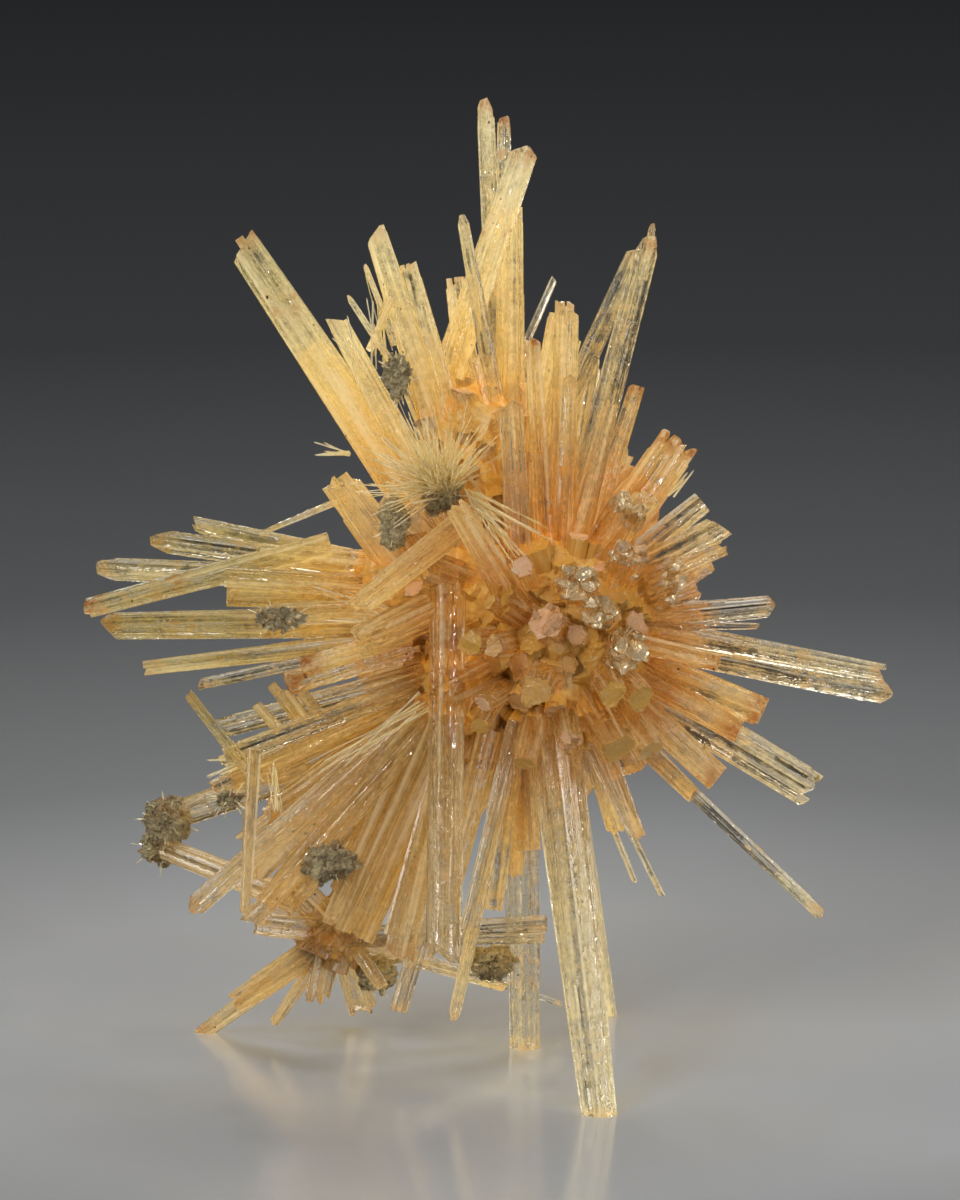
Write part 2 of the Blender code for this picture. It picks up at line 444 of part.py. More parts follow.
def build_cluster(parts, members, cutters, material):
    """The intergrown crystals and their core as one solid, trimmed at the floor and at the crumbs."""
    core, *others = LUMPS
    body = bpy.data.objects.new("growing_core", lumpy_mesh(core.name, core.centre, core.radii, 0.16))
    parts.objects.link(body)
    for lump in others:
        hidden(lumpy_mesh(lump.name, lump.centre, lump.radii, 0.16), members)
    for crystal in all_crystals():
        hidden(crystal_mesh(crystal), members)
    combine(body, "UNION", members)
    hidden(floor_slab(), cutters)
    for crumb in CRUMBS:
        pocket = lumpy_mesh(crumb.name, crumb.centre, crumb.radii, crumb.roughness)
        pocket.name = f"{crumb.name}_pocket"
        hidden(pocket, cutters)
    combine(body, "DIFFERENCE", cutters)
    bpy.context.view_layer.update()
    evaluated = body.evaluated_get(bpy.context.evaluated_depsgraph_get())
    mesh = bpy.data.meshes.new_from_object(evaluated)
    outer_skin(mesh)
    mesh.materials.clear()
    mesh.materials.append(material)
    cluster = bpy.data.objects.new("aragonite_cluster", mesh)
    parts.objects.link(cluster)
    bpy.data.objects.remove(body)
    return cluster


def build_crumbs(parts, material):
    """The matrix crumbs, each a little smaller than its pocket."""
    for crumb in CRUMBS:
        radii = [radius - CRUMB_GAP for radius in crumb.radii]
        mesh = lumpy_mesh(crumb.name, crumb.centre, radii, crumb.roughness)
        mesh.materials.append(material)
        parts.objects.link(bpy.data.objects.new(crumb.name, mesh))


def main():
    for old in list(bpy.data.objects):
        bpy.data.objects.remove(old)
    scene = bpy.context.scene.collection
    parts = bpy.data.collections.new("aragonite")
    members = bpy.data.collections.new("members")
    cutters = bpy.data.collections.new("cutters")
    for collection in (parts, members, cutters):
        scene.children.link(collection)
    honey = finish("honey_crystal", (0.80, 0.55, 0.24), 0.25)
    marl = finish("grey_green_marl", (0.20, 0.19, 0.13), 0.95)
    build_cluster(parts, members, cutters, honey)
    build_crumbs(parts, marl)


main()
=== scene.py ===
"""The looks of an aragonite cluster: honey-coloured prisms, needles and crumbs of grey-green marl.

The file is laid out as a Blender add-on. Run as a script, it grows every spray of crystals round the
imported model, dresses the crumbs and sets a small studio round them.

Positions are read as the viewer sees the cluster, in millimetres: across to the right, up, and
toward the viewer, from the point where the main crystals radiate. stand() turns such a position into
one above the surface that the cluster rests on.
"""

import json
import math
import random
from collections import namedtuple
from contextlib import contextmanager

import bpy
import numpy as np
from bpy.props import FloatProperty, FloatVectorProperty, IntProperty, PointerProperty
from mathutils import Matrix, Vector, noise

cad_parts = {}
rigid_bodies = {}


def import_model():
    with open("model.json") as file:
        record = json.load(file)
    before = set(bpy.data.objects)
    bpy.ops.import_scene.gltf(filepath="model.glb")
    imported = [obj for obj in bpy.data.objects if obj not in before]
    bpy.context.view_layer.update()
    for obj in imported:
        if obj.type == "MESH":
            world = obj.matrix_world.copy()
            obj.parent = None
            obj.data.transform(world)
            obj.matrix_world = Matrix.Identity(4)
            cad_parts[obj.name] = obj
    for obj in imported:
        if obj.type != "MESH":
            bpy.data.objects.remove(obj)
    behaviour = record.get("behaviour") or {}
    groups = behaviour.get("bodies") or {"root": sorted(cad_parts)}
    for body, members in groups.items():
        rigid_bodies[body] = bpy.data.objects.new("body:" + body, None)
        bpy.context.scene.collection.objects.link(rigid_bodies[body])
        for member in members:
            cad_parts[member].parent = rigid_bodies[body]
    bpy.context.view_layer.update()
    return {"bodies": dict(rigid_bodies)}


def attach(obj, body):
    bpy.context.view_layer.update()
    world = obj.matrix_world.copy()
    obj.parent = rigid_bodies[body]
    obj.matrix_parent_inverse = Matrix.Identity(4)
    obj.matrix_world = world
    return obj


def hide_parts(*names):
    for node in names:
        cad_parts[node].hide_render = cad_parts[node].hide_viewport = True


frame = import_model()

bl_info = {
    "name": "Aragonite cluster",
    "version": (1, 0, 0),
    "blender": (4, 5, 0),
    "location": "View3D > Sidebar > Aragonite",
    "description": "Grows the crystals of an aragonite cluster and sets its stage",
    "category": "Object",
}

MM = 0.001
VIEW_TILT = math.radians(12)
HUB_HEIGHT = 42.6  # of the radiating point above the surface
STANCE = Vector((5.973, 0.721, 0.0))  # puts the middle of the base over the origin
CRUMB_GAP = 0.3  # between a crumb and the crystals round its pocket
BODY = next(iter(frame["bodies"]))
CLUSTER = "aragonite_cluster"

# The hidden crystals. The outline says how far they may reach from the middle, by the direction seen
# from the front, anticlockwise from the right, so that they stay behind the crystals in front.
BACK_CRYSTALS = 38
BACK_COVER = 0.78  # of the half ball behind the middle
BACK_OUTLINE = (15, 12, 14, 22, 25, 22, 15, 19, 21, 21, 22, 20, 15, 14, 12, 13)

SHAFT = 20.0  # height of a model shaft, in radii
TIP_ZONE = 4.0  # the top of a model shaft, in radii, which keeps its form when the shaft is stretched
SIDES = 6
FINE_COLUMNS = 36  # round a fluted prism
LATH_COLUMNS = 12  # round a thin lath
LATH_GROOVE = 0.16  # depth of its grooves, over its radius
NEEDLE_COLUMNS = 5
NEEDLE_TIP = 0.25  # what the blunt point of a needle leaves of its width
NEEDLE_TAPER = 0.8
MODEL_SHAFTS = 5
LATH_ENDS = ("flat", "slant", "slant", "roof", "spear", "broken", "broken")
FOOT_CUT = 0.00002  # metres above the surface at which the feet end
CUT_SNAP = 1e-7  # how near a cut a point has to be to count as on it
LATH_WIDTH = 1.2  # millimetres, below which a crystal has no laths
RAGGED_WIDTH = 1.8  # above which its laths reach past its end

CORE_SHARE = 0.9  # of a solid's lump, so that the crystals' ends stand out of it
CORE_PRISMS = 130
CORE_ROUGHNESS = 0.16
CORE_FINENESS = 4  # how often the faces of its ball are split
CRUST_FINENESS = 5
CORE_DEPTH = 60  # millimetres, which keeps the finish of crystal tips off the core
FLANK_PRISMS = 34  # on each smaller lump
TUFT_MIDDLE = (-10.8, 14.2, 5.4)
TUFT_REACH = (4.4, 9.6)
SHEAF_NEEDLES = 34
CRUMB_NEEDLES = 22  # short needles that stand on each crumb
CRUMB_GRAINS = 70
GRAIN_SIZE = (0.12, 0.34)

Crystal = namedtuple(
    "Crystal", "name root tip root_width tip_width flatness end", defaults=("slant",)
)
Lump = namedtuple("Lump", "name centre radii")
Crumb = namedtuple("Crumb", "name centre radii roughness")
Look = namedtuple("Look", "clarity stain tone")
Needle = namedtuple("Needle", "root tip width")
Relief = namedtuple("Relief", "facet depth")

CORE_LOOK = Look(0.2, 0.1, 0.0)
NEEDLE_CLARITY = 0.8

GLITTER = Relief(0.75, 0.75)  # the cleaved ends, in millimetres
PITS = Relief(0.85, 0.16)  # the six-sided ends


def crystals(*rows):
    """Crystals from rows of their measures, slanting at the end where a row doesn't say."""
    return [Crystal(*row) for row in rows]


LUMPS = (
    Lump("ball", (1.5, -0.5, 0.5), (9.0, 11.0, 8.5)),
    Lump("crown_lump", (-7.5, 18, -1), (5.5, 7.5, 5.0)),
    Lump("left_lump", (-14.5, 4, -1), (6.0, 5.5, 5.0)),
    Lump("neck_lump", (-7.5, 4, 0), (5.5, 7.0, 6.0)),
    Lump("fan_lump", (-9.0, -6.5, 1), (5.0, 6.0, 5.5)),
    Lump("low_hub", (-21.6, -30.5, -6), (2.8, 2.6, 2.6)),
)

CROWN = crystals(
    ("spire_left", (-4.6, 14, -3), (-6.6, 53.3, -6), 2.8, 1.9, 0.75, "spear"),
    ("spire_right", (-4.0, 14, -3), (-4.6, 51.5, -6), 2.4, 1.7, 0.75, "spear"),
    ("twisted_blade", (-10.2, 25.5, -1), (-2.3, 48.6, -1), 3.6, 3.0, 0.5, "roof"),
    ("crown_pillar", (-4.0, 11, -1), (-3.9, 42.8, -2), 3.8, 2.9, 0.7),
    ("crown_wing", (-7.5, 20, -1), (-9.6, 35.5, -2), 3.2, 2.2, 0.6),
    ("front_lath", (-5.3, 22, 1), (-8.8, 41.4, 3), 1.9, 1.2, 0.6, "spear"),
    ("clear_sliver", (-3.6, 26, -1.8), (0.5, 35.3, -3), 0.9, 0.8, 0.8),
    ("twin_column", (1.0, 9, 2), (1.6, 33.2, 2), 3.0, 2.5, 0.7),
    ("orange_tip", (-0.4, 8, 3), (-1.7, 29.3, 5), 2.5, 1.9, 0.8, "roof"),
    ("front_column", (-3.0, 7, 5), (-3.9, 23.2, 9), 3.1, 2.6, 0.8, "roof"),
    ("slim_column", (0.9, 5, 3), (2.0, 25.6, 5), 2.2, 1.7, 0.8, "roof"),
    ("leaning_lath", (-0.4, 18, -3), (8.9, 38.4, -2), 2.3, 1.8, 0.6),
    ("long_spear", (1.8, 8, 1), (10.0, 39.2, 1), 3.4, 2.4, 0.6, "spear"),
    ("spear_point", (9.2, 35, 1), (10.3, 40.6, 1), 1.0, 0.7, 0.8, "spear"),
    ("short_spear", (4.0, 9, 3), (8.8, 24.6, 4), 2.3, 1.8, 0.7, "roof"),
    ("inner_spear", (2.5, 8, 3), (6.2, 23.0, 6), 2.4, 1.6, 0.7),
    ("left_sword", (-15.0, 15, 0), (-31.4, 39.5, -3), 5.0, 3.6, 0.6),
    ("sword_guard", (-13.0, 15, 1), (-21.7, 31.7, 0), 3.4, 2.0, 0.6),
    ("sword_cheek", (-13.5, 13, -1), (-24.3, 28.5, -2), 5.0, 3.0, 0.6),
    ("left_tower", (-10.4, 18, 1), (-17.6, 40.5, 1), 4.2, 2.6, 0.6),
    ("tower_step", (-9.2, 18, 1), (-14.3, 36.9, 1), 3.2, 2.0, 0.6),
    ("broken_flank", (-14.5, 6, 2), (-21.6, 15.6, 3), 4.6, 3.9, 0.6),
)

LEFT = crystals(
    ("green_lath", (-20.0, 6.2, -1), (-39.8, 9.0, -3), 2.9, 2.5, 0.6, "spear"),
    ("green_step", (-20.0, 7.0, -1), (-36.0, 10.7, -3), 2.4, 1.6, 0.6),
    ("green_blade", (-18.0, 5.0, -2), (-45.4, 6.2, -5), 2.9, 2.5, 0.6, "spear"),
    ("brown_lath", (-22.0, 8.6, 0), (-46.5, 2.1, 2), 2.9, 2.2, 0.6, "spear"),
    ("yellow_beam", (-18.0, 0.8, 0), (-45.4, 0.4, -1), 3.6, 3.1, 0.7, "roof"),
    ("under_lath", (-18.0, -1.2, 0), (-41.0, -3.9, 0), 2.3, 1.7, 0.6),
    ("dark_sliver", (-14.0, -1.0, 1.2), (-35.3, -5.5, 3), 1.6, 1.3, 0.7),
    ("stub_low", (-14.0, -1.5, 4), (-26.2, -5.4, 6), 3.2, 2.9, 0.7, "flat"),
    ("stub_high", (-14.0, -0.5, 5), (-24.8, -3.7, 7), 2.2, 2.0, 0.7, "flat"),
    ("amber_beam", (-15.0, 4.2, 2), (-32.5, 5.4, 3), 2.8, 2.3, 0.7, "flat"),
    ("amber_beam_low", (-15.0, 3.0, 1), (-32.6, 3.4, 1), 2.6, 2.2, 0.7),
    ("grey_beam", (-16.0, 2.0, 4), (-28.0, 1.6, 5), 2.8, 2.5, 0.7, "flat"),
    ("upper_beam", (-15.0, 6.5, 0), (-30.0, 7.6, 0), 2.8, 2.1, 0.7),
    ("hanging_blade", (-7.5, 11.5, 6), (-19.6, 2.0, 12), 3.2, 2.7, 0.55, "roof"),
    ("front_paddle", (-3.0, 2.0, 8), (-9.6, 12.6, 14), 3.8, 2.3, 0.55, "roof"),
    ("pale_stub", (-12.0, 2.0, 5), (-19.3, -1.4, 10), 4.2, 3.6, 0.6),
)

FAN = crystals(
    ("fan_beam", (-11.5, -6.5, 3), (-35.8, -27.9, 4), 3.2, 2.5, 0.5, "spear"),
    ("fan_beam_low", (-11.0, -8.5, 3), (-30.4, -29.6, 3), 3.0, 2.3, 0.5),
    ("fan_top", (-11.5, -4.0, 3), (-33.2, -9.9, 4), 2.8, 2.4, 0.6),
    ("fan_high", (-11.5, -4.8, 4), (-32.4, -12.6, 5), 2.6, 2.2, 0.6, "flat"),
    ("fan_mid", (-11.5, -5.6, 3), (-34.0, -16.2, 2), 2.8, 2.4, 0.6),
    ("fan_rear", (-11.5, -7.0, 0), (-31.0, -22.0, -2), 4.0, 3.2, 0.6),
    ("crossing_lath", (-29.0, -15.4, 5), (-36.2, -6.2, 5), 1.5, 1.2, 0.7),
    ("upright_lath", (-29.5, -12.0, 6), (-30.4, -28.3, 8), 1.7, 1.3, 0.7, "spear"),
    ("amber_sail", (-11.0, -9.0, 2), (-20.6, -30.5, 2), 8.0, 6.8, 0.35),
    ("crusted_upper", (-24.0, -14.0, 0), (-38.0, -18.8, -4), 3.4, 3.0, 0.8, "flat"),
    ("crusted_lower", (-25.5, -27.0, 0), (-38.6, -21.9, -5), 2.9, 2.5, 0.8, "flat"),
    ("fan_under", (-12.0, -11.0, 1), (-26.5, -27.5, 0), 3.6, 2.8, 0.6),
    ("sail_side", (-9.0, -9.0, 1), (-15.8, -28.5, 1), 4.2, 3.8, 0.5),
    ("hub_stem", (-10.0, -9.0, -1), (-22.0, -31.5, -6.5), 5.0, 5.2, 0.6, "flat"),
    ("hub_stem_rear", (-7.0, -9.0, -3), (-20.6, -31.5, -7.5), 4.0, 4.2, 0.6, "flat"),
)

LOW_SPRAY = crystals(
    ("foot_left", (-21.6, -30.5, -6), (-35.4, -40.9, -14), 3.2, 1.7, 0.75, "flat"),
    ("foot_blade", (-22.5, -31.5, -6), (-31.9, -37.6, -11), 3.4, 2.6, 0.5),
    ("low_lath", (-22.0, -31.5, -7), (-27.8, -39.7, -9), 1.6, 1.2, 0.7, "spear"),
    ("low_stub", (-22.0, -30.5, -6), (-23.4, -37.6, -6), 3.0, 2.6, 0.6),
    ("low_block", (-20.8, -30.5, -8), (-18.9, -38.5, -17), 3.6, 3.2, 0.6),
    ("yellow_fan", (-20.5, -30.0, -5), (-29.6, -29.0, -3), 3.4, 3.2, 0.6),
    ("yellow_fan_high", (-21.0, -30.5, -5), (-26.6, -24.5, -3), 3.6, 3.4, 0.6),
    ("low_prism", (-19.6, -31.5, -4), (-16.7, -35.8, -1), 1.6, 1.3, 0.8),
    ("cross_bar", (-21.0, -30.8, -4), (-0.4, -29.4, -1), 2.0, 1.9, 0.7, "flat"),
    ("cross_bar_low", (-21.0, -31.2, -4), (-0.6, -30.8, -1), 1.5, 1.3, 0.8, "flat"),
    ("rear_bar", (-20.5, -31.0, -6), (-4.2, -36.0, -11), 2.0, 1.3, 0.7),
    ("rear_needle", (-7.0, -35.0, -10.5), (1.4, -37.8, -13), 0.9, 0.6, 0.8),
)

HANGING = crystals(
    ("front_foot", (0.0, -8.0, 5), (4.9, -49.4, 20.6), 5.8, 3.7, 0.55, "flat"),
    ("clear_foot", (-3.0, -11.0, -1), (-2.5, -43.2, -7.4), 3.8, 3.6, 0.6, "flat"),
    ("rear_foot", (1.0, -9.0, -5), (6.0, -40.4, -21.8), 3.4, 2.2, 0.7, "flat"),
    ("front_pillar", (-10.2, 4.5, 5.5), (-10.6, -33.0, 14), 3.6, 3.5, 0.7),
    ("spade", (-9.5, -9.0, 4), (-15.3, -32.9, 11), 2.2, 4.0, 0.45, "roof"),
    ("long_lath", (-3.0, -8.0, 3), (-9.7, -38.9, 6), 1.7, 1.2, 0.7, "spear"),
    ("glass_lath", (-6.5, -9.0, 1), (-15.2, -38.1, 0), 2.6, 2.0, 0.7, "flat"),
    ("amber_post", (-3.8, -10.0, 2), (-6.0, -27.8, 1), 3.6, 3.0, 0.6, "flat"),
    ("amber_post_left", (-6.0, -10.0, 4), (-10.6, -28.0, 5), 3.0, 2.4, 0.6),
    ("needle_post", (-3.5, -9.0, 6), (-8.6, -30.0, 8), 1.6, 1.1, 0.7, "spear"),
    ("short_fang", (3.4, -6.5, -1.5), (9.1, -21.1, -2), 2.4, 1.5, 0.6),
    ("short_fang_left", (2.8, -6.5, -3), (6.7, -20.6, -5), 2.6, 1.9, 0.6),
    ("right_needle", (2.0, -8.0, 1), (11.3, -26.7, 2), 0.9, 0.7, 0.8),
    ("fine_needle", (1.5, -8.0, -2.5), (8.6, -25.4, -6), 0.7, 0.6, 0.8),
)

RIGHT = crystals(
    ("orange_block", (4.5, 6.5, 0), (13.2, 19.3, -1), 5.0, 4.7, 0.5, "roof"),
    ("pale_step_top", (6.0, 5.5, 1), (15.2, 12.8, 1), 2.8, 2.5, 0.8, "flat"),
    ("pale_step", (6.0, 4.5, 2), (17.6, 10.6, 2), 2.8, 2.5, 0.8),
    ("pale_step_low", (6.0, 3.5, 0), (17.8, 8.5, 0), 2.7, 2.3, 0.8),
    ("clear_stub", (7.0, 0.8, 3), (22.9, 2.4, 3), 2.9, 2.4, 0.75, "roof"),
    ("thin_rod", (7.0, 0.4, 4), (20.9, 0.4, 4), 1.3, 0.8, 0.8, "roof"),
    ("long_beam", (7.0, 0.6, 3), (33.8, -4.5, 4), 2.8, 2.2, 0.75),
    ("long_beam_low", (7.0, -0.8, 2), (34.6, -6.5, 2), 3.1, 2.6, 0.75, "roof"),
    ("banded_stub", (7.0, -0.8, 5), (16.7, -3.3, 7), 2.3, 2.0, 0.75, "flat"),
    ("orange_stub", (7.0, -2.5, 3), (21.2, -8.3, 3), 3.6, 3.3, 0.7, "flat"),
    ("orange_stub_low", (7.0, -3.5, 4), (18.8, -10.2, 5), 3.0, 2.6, 0.7, "flat"),
    ("wide_prism", (7.0, -4.5, 2), (26.6, -16.4, 2), 4.4, 4.2, 0.55, "roof"),
    ("banded_prism", (7.5, -6.5, 5), (16.7, -14.8, 6), 3.4, 3.1, 0.7, "flat"),
    ("long_rod", (5.0, -7.5, 3.5), (27.2, -28.5, 6), 1.4, 1.2, 0.85, "roof"),
    ("rod_base", (6.5, -8.8, 3), (14.6, -16.8, 4), 2.4, 1.8, 0.75),
    ("upper_stub", (5.0, 7.0, 3), (10.0, 13.6, 5), 3.6, 3.2, 0.7),
)

# Short or thin crystals that stand on the larger ones.
SMALL = crystals(
    ("tower_needle", (-15.4, 28.5, 1), (-18.5, 36.5, 2), 0.9, 0.6, 0.8, "spear"),
    ("tower_needle_low", (-16.0, 27.0, 1), (-20.2, 33.4, 3), 0.8, 0.6, 0.8, "spear"),
    ("tower_needle_cross", (-18.0, 28.0, 0), (-15.7, 33.2, 3), 0.9, 0.7, 0.8),
    ("flank_needle", (-19.5, 13.6, 2.5), (-29.2, 9.5, 4), 0.9, 0.6, 0.8),
    ("saw_tooth_a", (-25.0, -9.0, 3.5), (-27.8, -5.4, 4.5), 1.4, 1.1, 0.8, "flat"),
    ("saw_tooth_b", (-24.5, -8.8, 3.5), (-26.5, -5.9, 5.5), 1.3, 1.0, 0.8),
    ("saw_tooth_c", (-23.0, -8.5, 3.5), (-25.2, -5.7, 5.0), 1.4, 1.1, 0.8),
    ("saw_tooth_d", (-27.0, -10.0, 4.0), (-29.3, -7.4, 4.5), 1.3, 1.1, 0.8, "flat"),
)

# The stout crystals that end near the viewer, with their broken or six-sided ends facing out.
FACING = crystals(
    ("hex_top", (-1.5, 3.5, 4), (-2.8, 6.3, 11.5), 2.8, 2.5, 0.85, "flat"),
    ("hex_left_pink", (-5.0, -1.0, 4), (-8.0, -1.3, 11.5), 3.2, 2.9, 0.9, "flat"),
    ("hex_left_pale", (-3.5, -1.2, 4), (-5.7, -1.6, 12.0), 3.0, 2.6, 0.7, "flat"),
    ("hex_rust", (-5.0, -6.0, 4), (-7.1, -9.6, 11.0), 2.6, 2.3, 0.9, "flat"),
    ("hex_rust_high", (-4.0, -5.5, 4), (-6.8, -7.3, 11.0), 2.6, 2.2, 0.6, "flat"),
    ("hex_middle", (-0.5, -4.0, 4), (-1.5, -6.2, 13.0), 4.6, 4.0, 0.85, "flat"),
    ("hex_centre", (1.0, 0.0, 4), (-0.5, 1.0, 12.0), 4.6, 4.0, 0.85),
    ("glitter_high", (2.0, 3.0, 4), (2.8, 5.2, 12.5), 5.0, 4.6, 0.8),
    ("glitter_mid", (4.0, 2.0, 4), (4.9, 1.8, 12.5), 4.6, 4.2, 0.8),
    ("glitter_right", (6.0, 3.5, 3), (8.2, 8.4, 9.5), 4.8, 4.4, 0.8),
    ("glitter_top", (5.5, 8.0, 2), (8.4, 13.0, 7.0), 5.0, 4.6, 0.7),
    ("glitter_far", (8.0, 3.0, 2), (13.6, 5.4, 6.5), 5.4, 5.0, 0.7),
    ("glitter_low", (5.0, -1.0, 4), (8.0, -2.4, 11.5), 6.0, 5.4, 0.7),
    ("flat_rose", (4.5, -3.0, 4), (6.2, -6.4, 12.5), 4.0, 3.4, 0.8, "flat"),
    ("flat_amber", (6.0, -4.0, 4), (9.0, -6.9, 11.0), 4.4, 3.8, 0.7, "flat"),
    ("rose_low", (3.5, -6.0, 4), (6.8, -11.8, 10.5), 4.8, 4.4, 0.85, "flat"),
    ("rose_right", (6.0, -6.0, 3), (10.0, -12.0, 8.0), 3.8, 3.2, 0.7, "flat"),
    ("low_middle", (1.0, -6.0, 4), (2.0, -11.4, 11.0), 3.4, 3.0, 0.8),
    ("low_left", (-1.0, -7.0, 4), (-2.6, -13.3, 9.5), 3.0, 2.6, 0.8, "flat"),
    ("amber_high", (-1.0, 1.0, 4), (-5.6, 3.8, 11.0), 4.8, 4.2, 0.7),
    ("amber_left", (-6.0, -4.0, 4), (-11.0, -6.4, 8.5), 4.0, 3.4, 0.7),
    ("amber_shoulder", (-6.0, 4.0, 3), (-12.6, 6.6, 7.0), 4.4, 3.8, 0.7),
)

CRUMBS = (
    Crumb("matrix_tuft_base", (-11.0, 13.6, 5.6), (2.3, 2.2, 1.8), 0.22),
    Crumb("matrix_left_plate", (-15.6, 10.6, 5.6), (1.7, 2.9, 1.3), 0.22),
    Crumb("matrix_tower_side", (-15.2, 25.3, 3.2), (1.5, 2.6, 1.3), 0.22),
    Crumb("matrix_left_beam", (-27.0, 1.1, 7.2), (2.6, 1.3, 1.2), 0.25),
    Crumb("matrix_upper_cap", (-38.4, -19.0, -3.6), (2.7, 2.5, 2.5), 0.20),
    Crumb("matrix_lower_cap", (-39.0, -21.8, -7.6), (2.2, 2.0, 2.0), 0.20),
    Crumb("matrix_fan", (-22.0, -23.2, 3.4), (3.0, 2.2, 1.8), 0.24),
    Crumb("matrix_fan_top", (-32.0, -16.8, 6.2), (1.7, 1.0, 1.1), 0.22),
    Crumb("matrix_low_hub", (-17.4, -34.4, -7.0), (2.4, 2.1, 1.9), 0.24),
    Crumb("matrix_under_bars", (-5.8, -33.4, -4.8), (2.6, 2.0, 1.7), 0.24),
)

# How clear a crystal is, from milky at 0 to see-through at 1. The others are HONEY_CLARITY.
HONEY_CLARITY = 0.42
CLARITY_SPREAD = 0.08
CLARITY = {
    # The glitter ends, at 0.95, also get a painted whitish highlight on their frosted ends.
    0.95: ("glitter_high", "glitter_mid", "glitter_right", "glitter_top", "glitter_far",
           "glitter_low"),
    0.92: ("long_rod", "thin_rod", "clear_stub", "right_needle", "fine_needle", "clear_sliver",
           "dark_sliver", "rear_needle"),
    0.85: ("long_beam", "long_beam_low", "clear_foot", "glass_lath", "cross_bar", "cross_bar_low",
           "wide_prism"),
    0.72: ("needle_post", "long_lath", "leaning_lath", "long_spear", "front_lath",
           "pale_step", "pale_step_low", "pale_step_top", "front_column", "slim_column", "fan_top",
           "fan_high", "fan_mid", "inner_spear", "spear_point"),
    0.58: ("spire_left", "spire_right", "front_foot", "upper_beam", "front_pillar", "fan_beam",
           "fan_beam_low", "short_spear", "green_lath", "green_blade"),
    0.3: ("left_sword", "left_tower", "tower_step", "crown_pillar", "twisted_blade", "spade",
          "hanging_blade", "pale_stub", "broken_flank"),
    0.2: ("sword_guard", "sword_cheek", "amber_sail", "front_paddle", "sail_side", "orange_block"),
}
# How rusty a crystal's tip is. The others are HONEY_STAIN.
HONEY_STAIN = 0.25
STAIN_SPREAD = 0.15
STAIN = {
    1.0: ("orange_block", "orange_tip", "orange_stub", "orange_stub_low", "stub_low", "stub_high",
          "brown_lath"),
    0.8: ("short_spear", "banded_prism", "long_rod", "yellow_beam", "spire_left", "spire_right"),
    0.6: ("long_beam", "long_beam_low", "banded_stub", "long_spear", "spear_point", "dark_sliver",
          "twin_column", "front_column", "clear_stub", "clear_foot", "twisted_blade", "left_sword",
          "spade", "foot_left"),
    0.4: ("front_foot", "left_tower", "green_lath", "under_lath", "leaning_lath"),
}


def stand():
    """The matrix from a position as the viewer reads it, in millimetres, to one over the surface."""
    down, level = math.sin(VIEW_TILT), math.cos(VIEW_TILT)
    turn = Matrix(((1, 0, 0, 0), (0, down, -level, 0), (0, level, down, 0), (0, 0, 0, 1)))
    place = Matrix.Translation(STANCE + Vector((0, 0, HUB_HEIGHT)))
    return Matrix.Scale(MM, 4) @ place @ turn


def lean(root, tip, roll):
    """Axes of a crystal from root to tip, its broad side to the viewer apart from a small roll."""
    axis = (tip - root).normalized()
    broad = Vector((0, 0, 1)).cross(axis)
    if broad.length < 0.2:
        broad = Vector((0, 1, 0)).cross(axis)
    broad.normalize()
    axes = Matrix((broad, axis.cross(broad), axis)).transposed().to_4x4()
    return Matrix.Translation(root) @ axes @ Matrix.Rotation(roll, 4, "Z")


def three(chance, low, high, size=1):
    """Three random numbers."""
    return [chance.uniform(low, high) * size for _ in range(3)]


def to_surface(radii, out, share=1):
    """From the middle of a lump toward one direction, as far as its surface or a share of that."""
    return Vector([radii[k] * out[k] * share for k in range(3)])


def golden_turn(i):
    """The direction of one of many evenly spread crystals, round the axis."""
    return i * math.pi * (3 - math.sqrt(5))


def end_planes(end, width, chance):
    """The cuts that make one kind of end: how far below the tip, how tilted, and toward which side."""
    if end == "flat":
        return [(0.0, math.radians(chance.uniform(2, 7)), chance.uniform(0, math.tau))]
    if end == "slant":
        side = chance.choice((0.0, math.pi))
        return [(0.22 * width, math.radians(chance.uniform(22, 36)), side + chance.uniform(-0.5, 0.5))]
    if end == "roof":
        tilt = math.radians(chance.uniform(34, 46))
        skew = chance.uniform(-0.12, 0.12) * width
        return [(-skew, tilt, 0.0), (skew, tilt, math.pi)]
    steep = math.radians(chance.uniform(66, 71))
    rise = chance.uniform(0.14, 0.2) * width * math.tan(steep)
    blunt = math.radians(20)
    return [(-rise, steep, 0.0), (-rise, steep, math.pi), (0.0, blunt, chance.uniform(0, math.tau))]


def spread_fan(name, hub, start, finish, count, reach, width, toward):
    """Slim parallel-sided crystals that fill the fan between two directions in the viewer's plane."""
    chance = random.Random(name)
    made = []
    for i in range(count):
        angle = math.radians(start + (finish - start) * (i + chance.uniform(0.2, 0.8)) / count)
        out = chance.uniform(*reach)
        near = chance.uniform(*toward)
        tip = (hub[0] + out * math.cos(angle), hub[1] + out * math.sin(angle), hub[2] + near)
        broad = chance.uniform(*width)
        end = chance.choice(("slant", "flat", "roof"))
        made.append(Crystal(f"{name}_{i}", hub, tip, broad * 1.25, broad, 0.7, end))
    return made


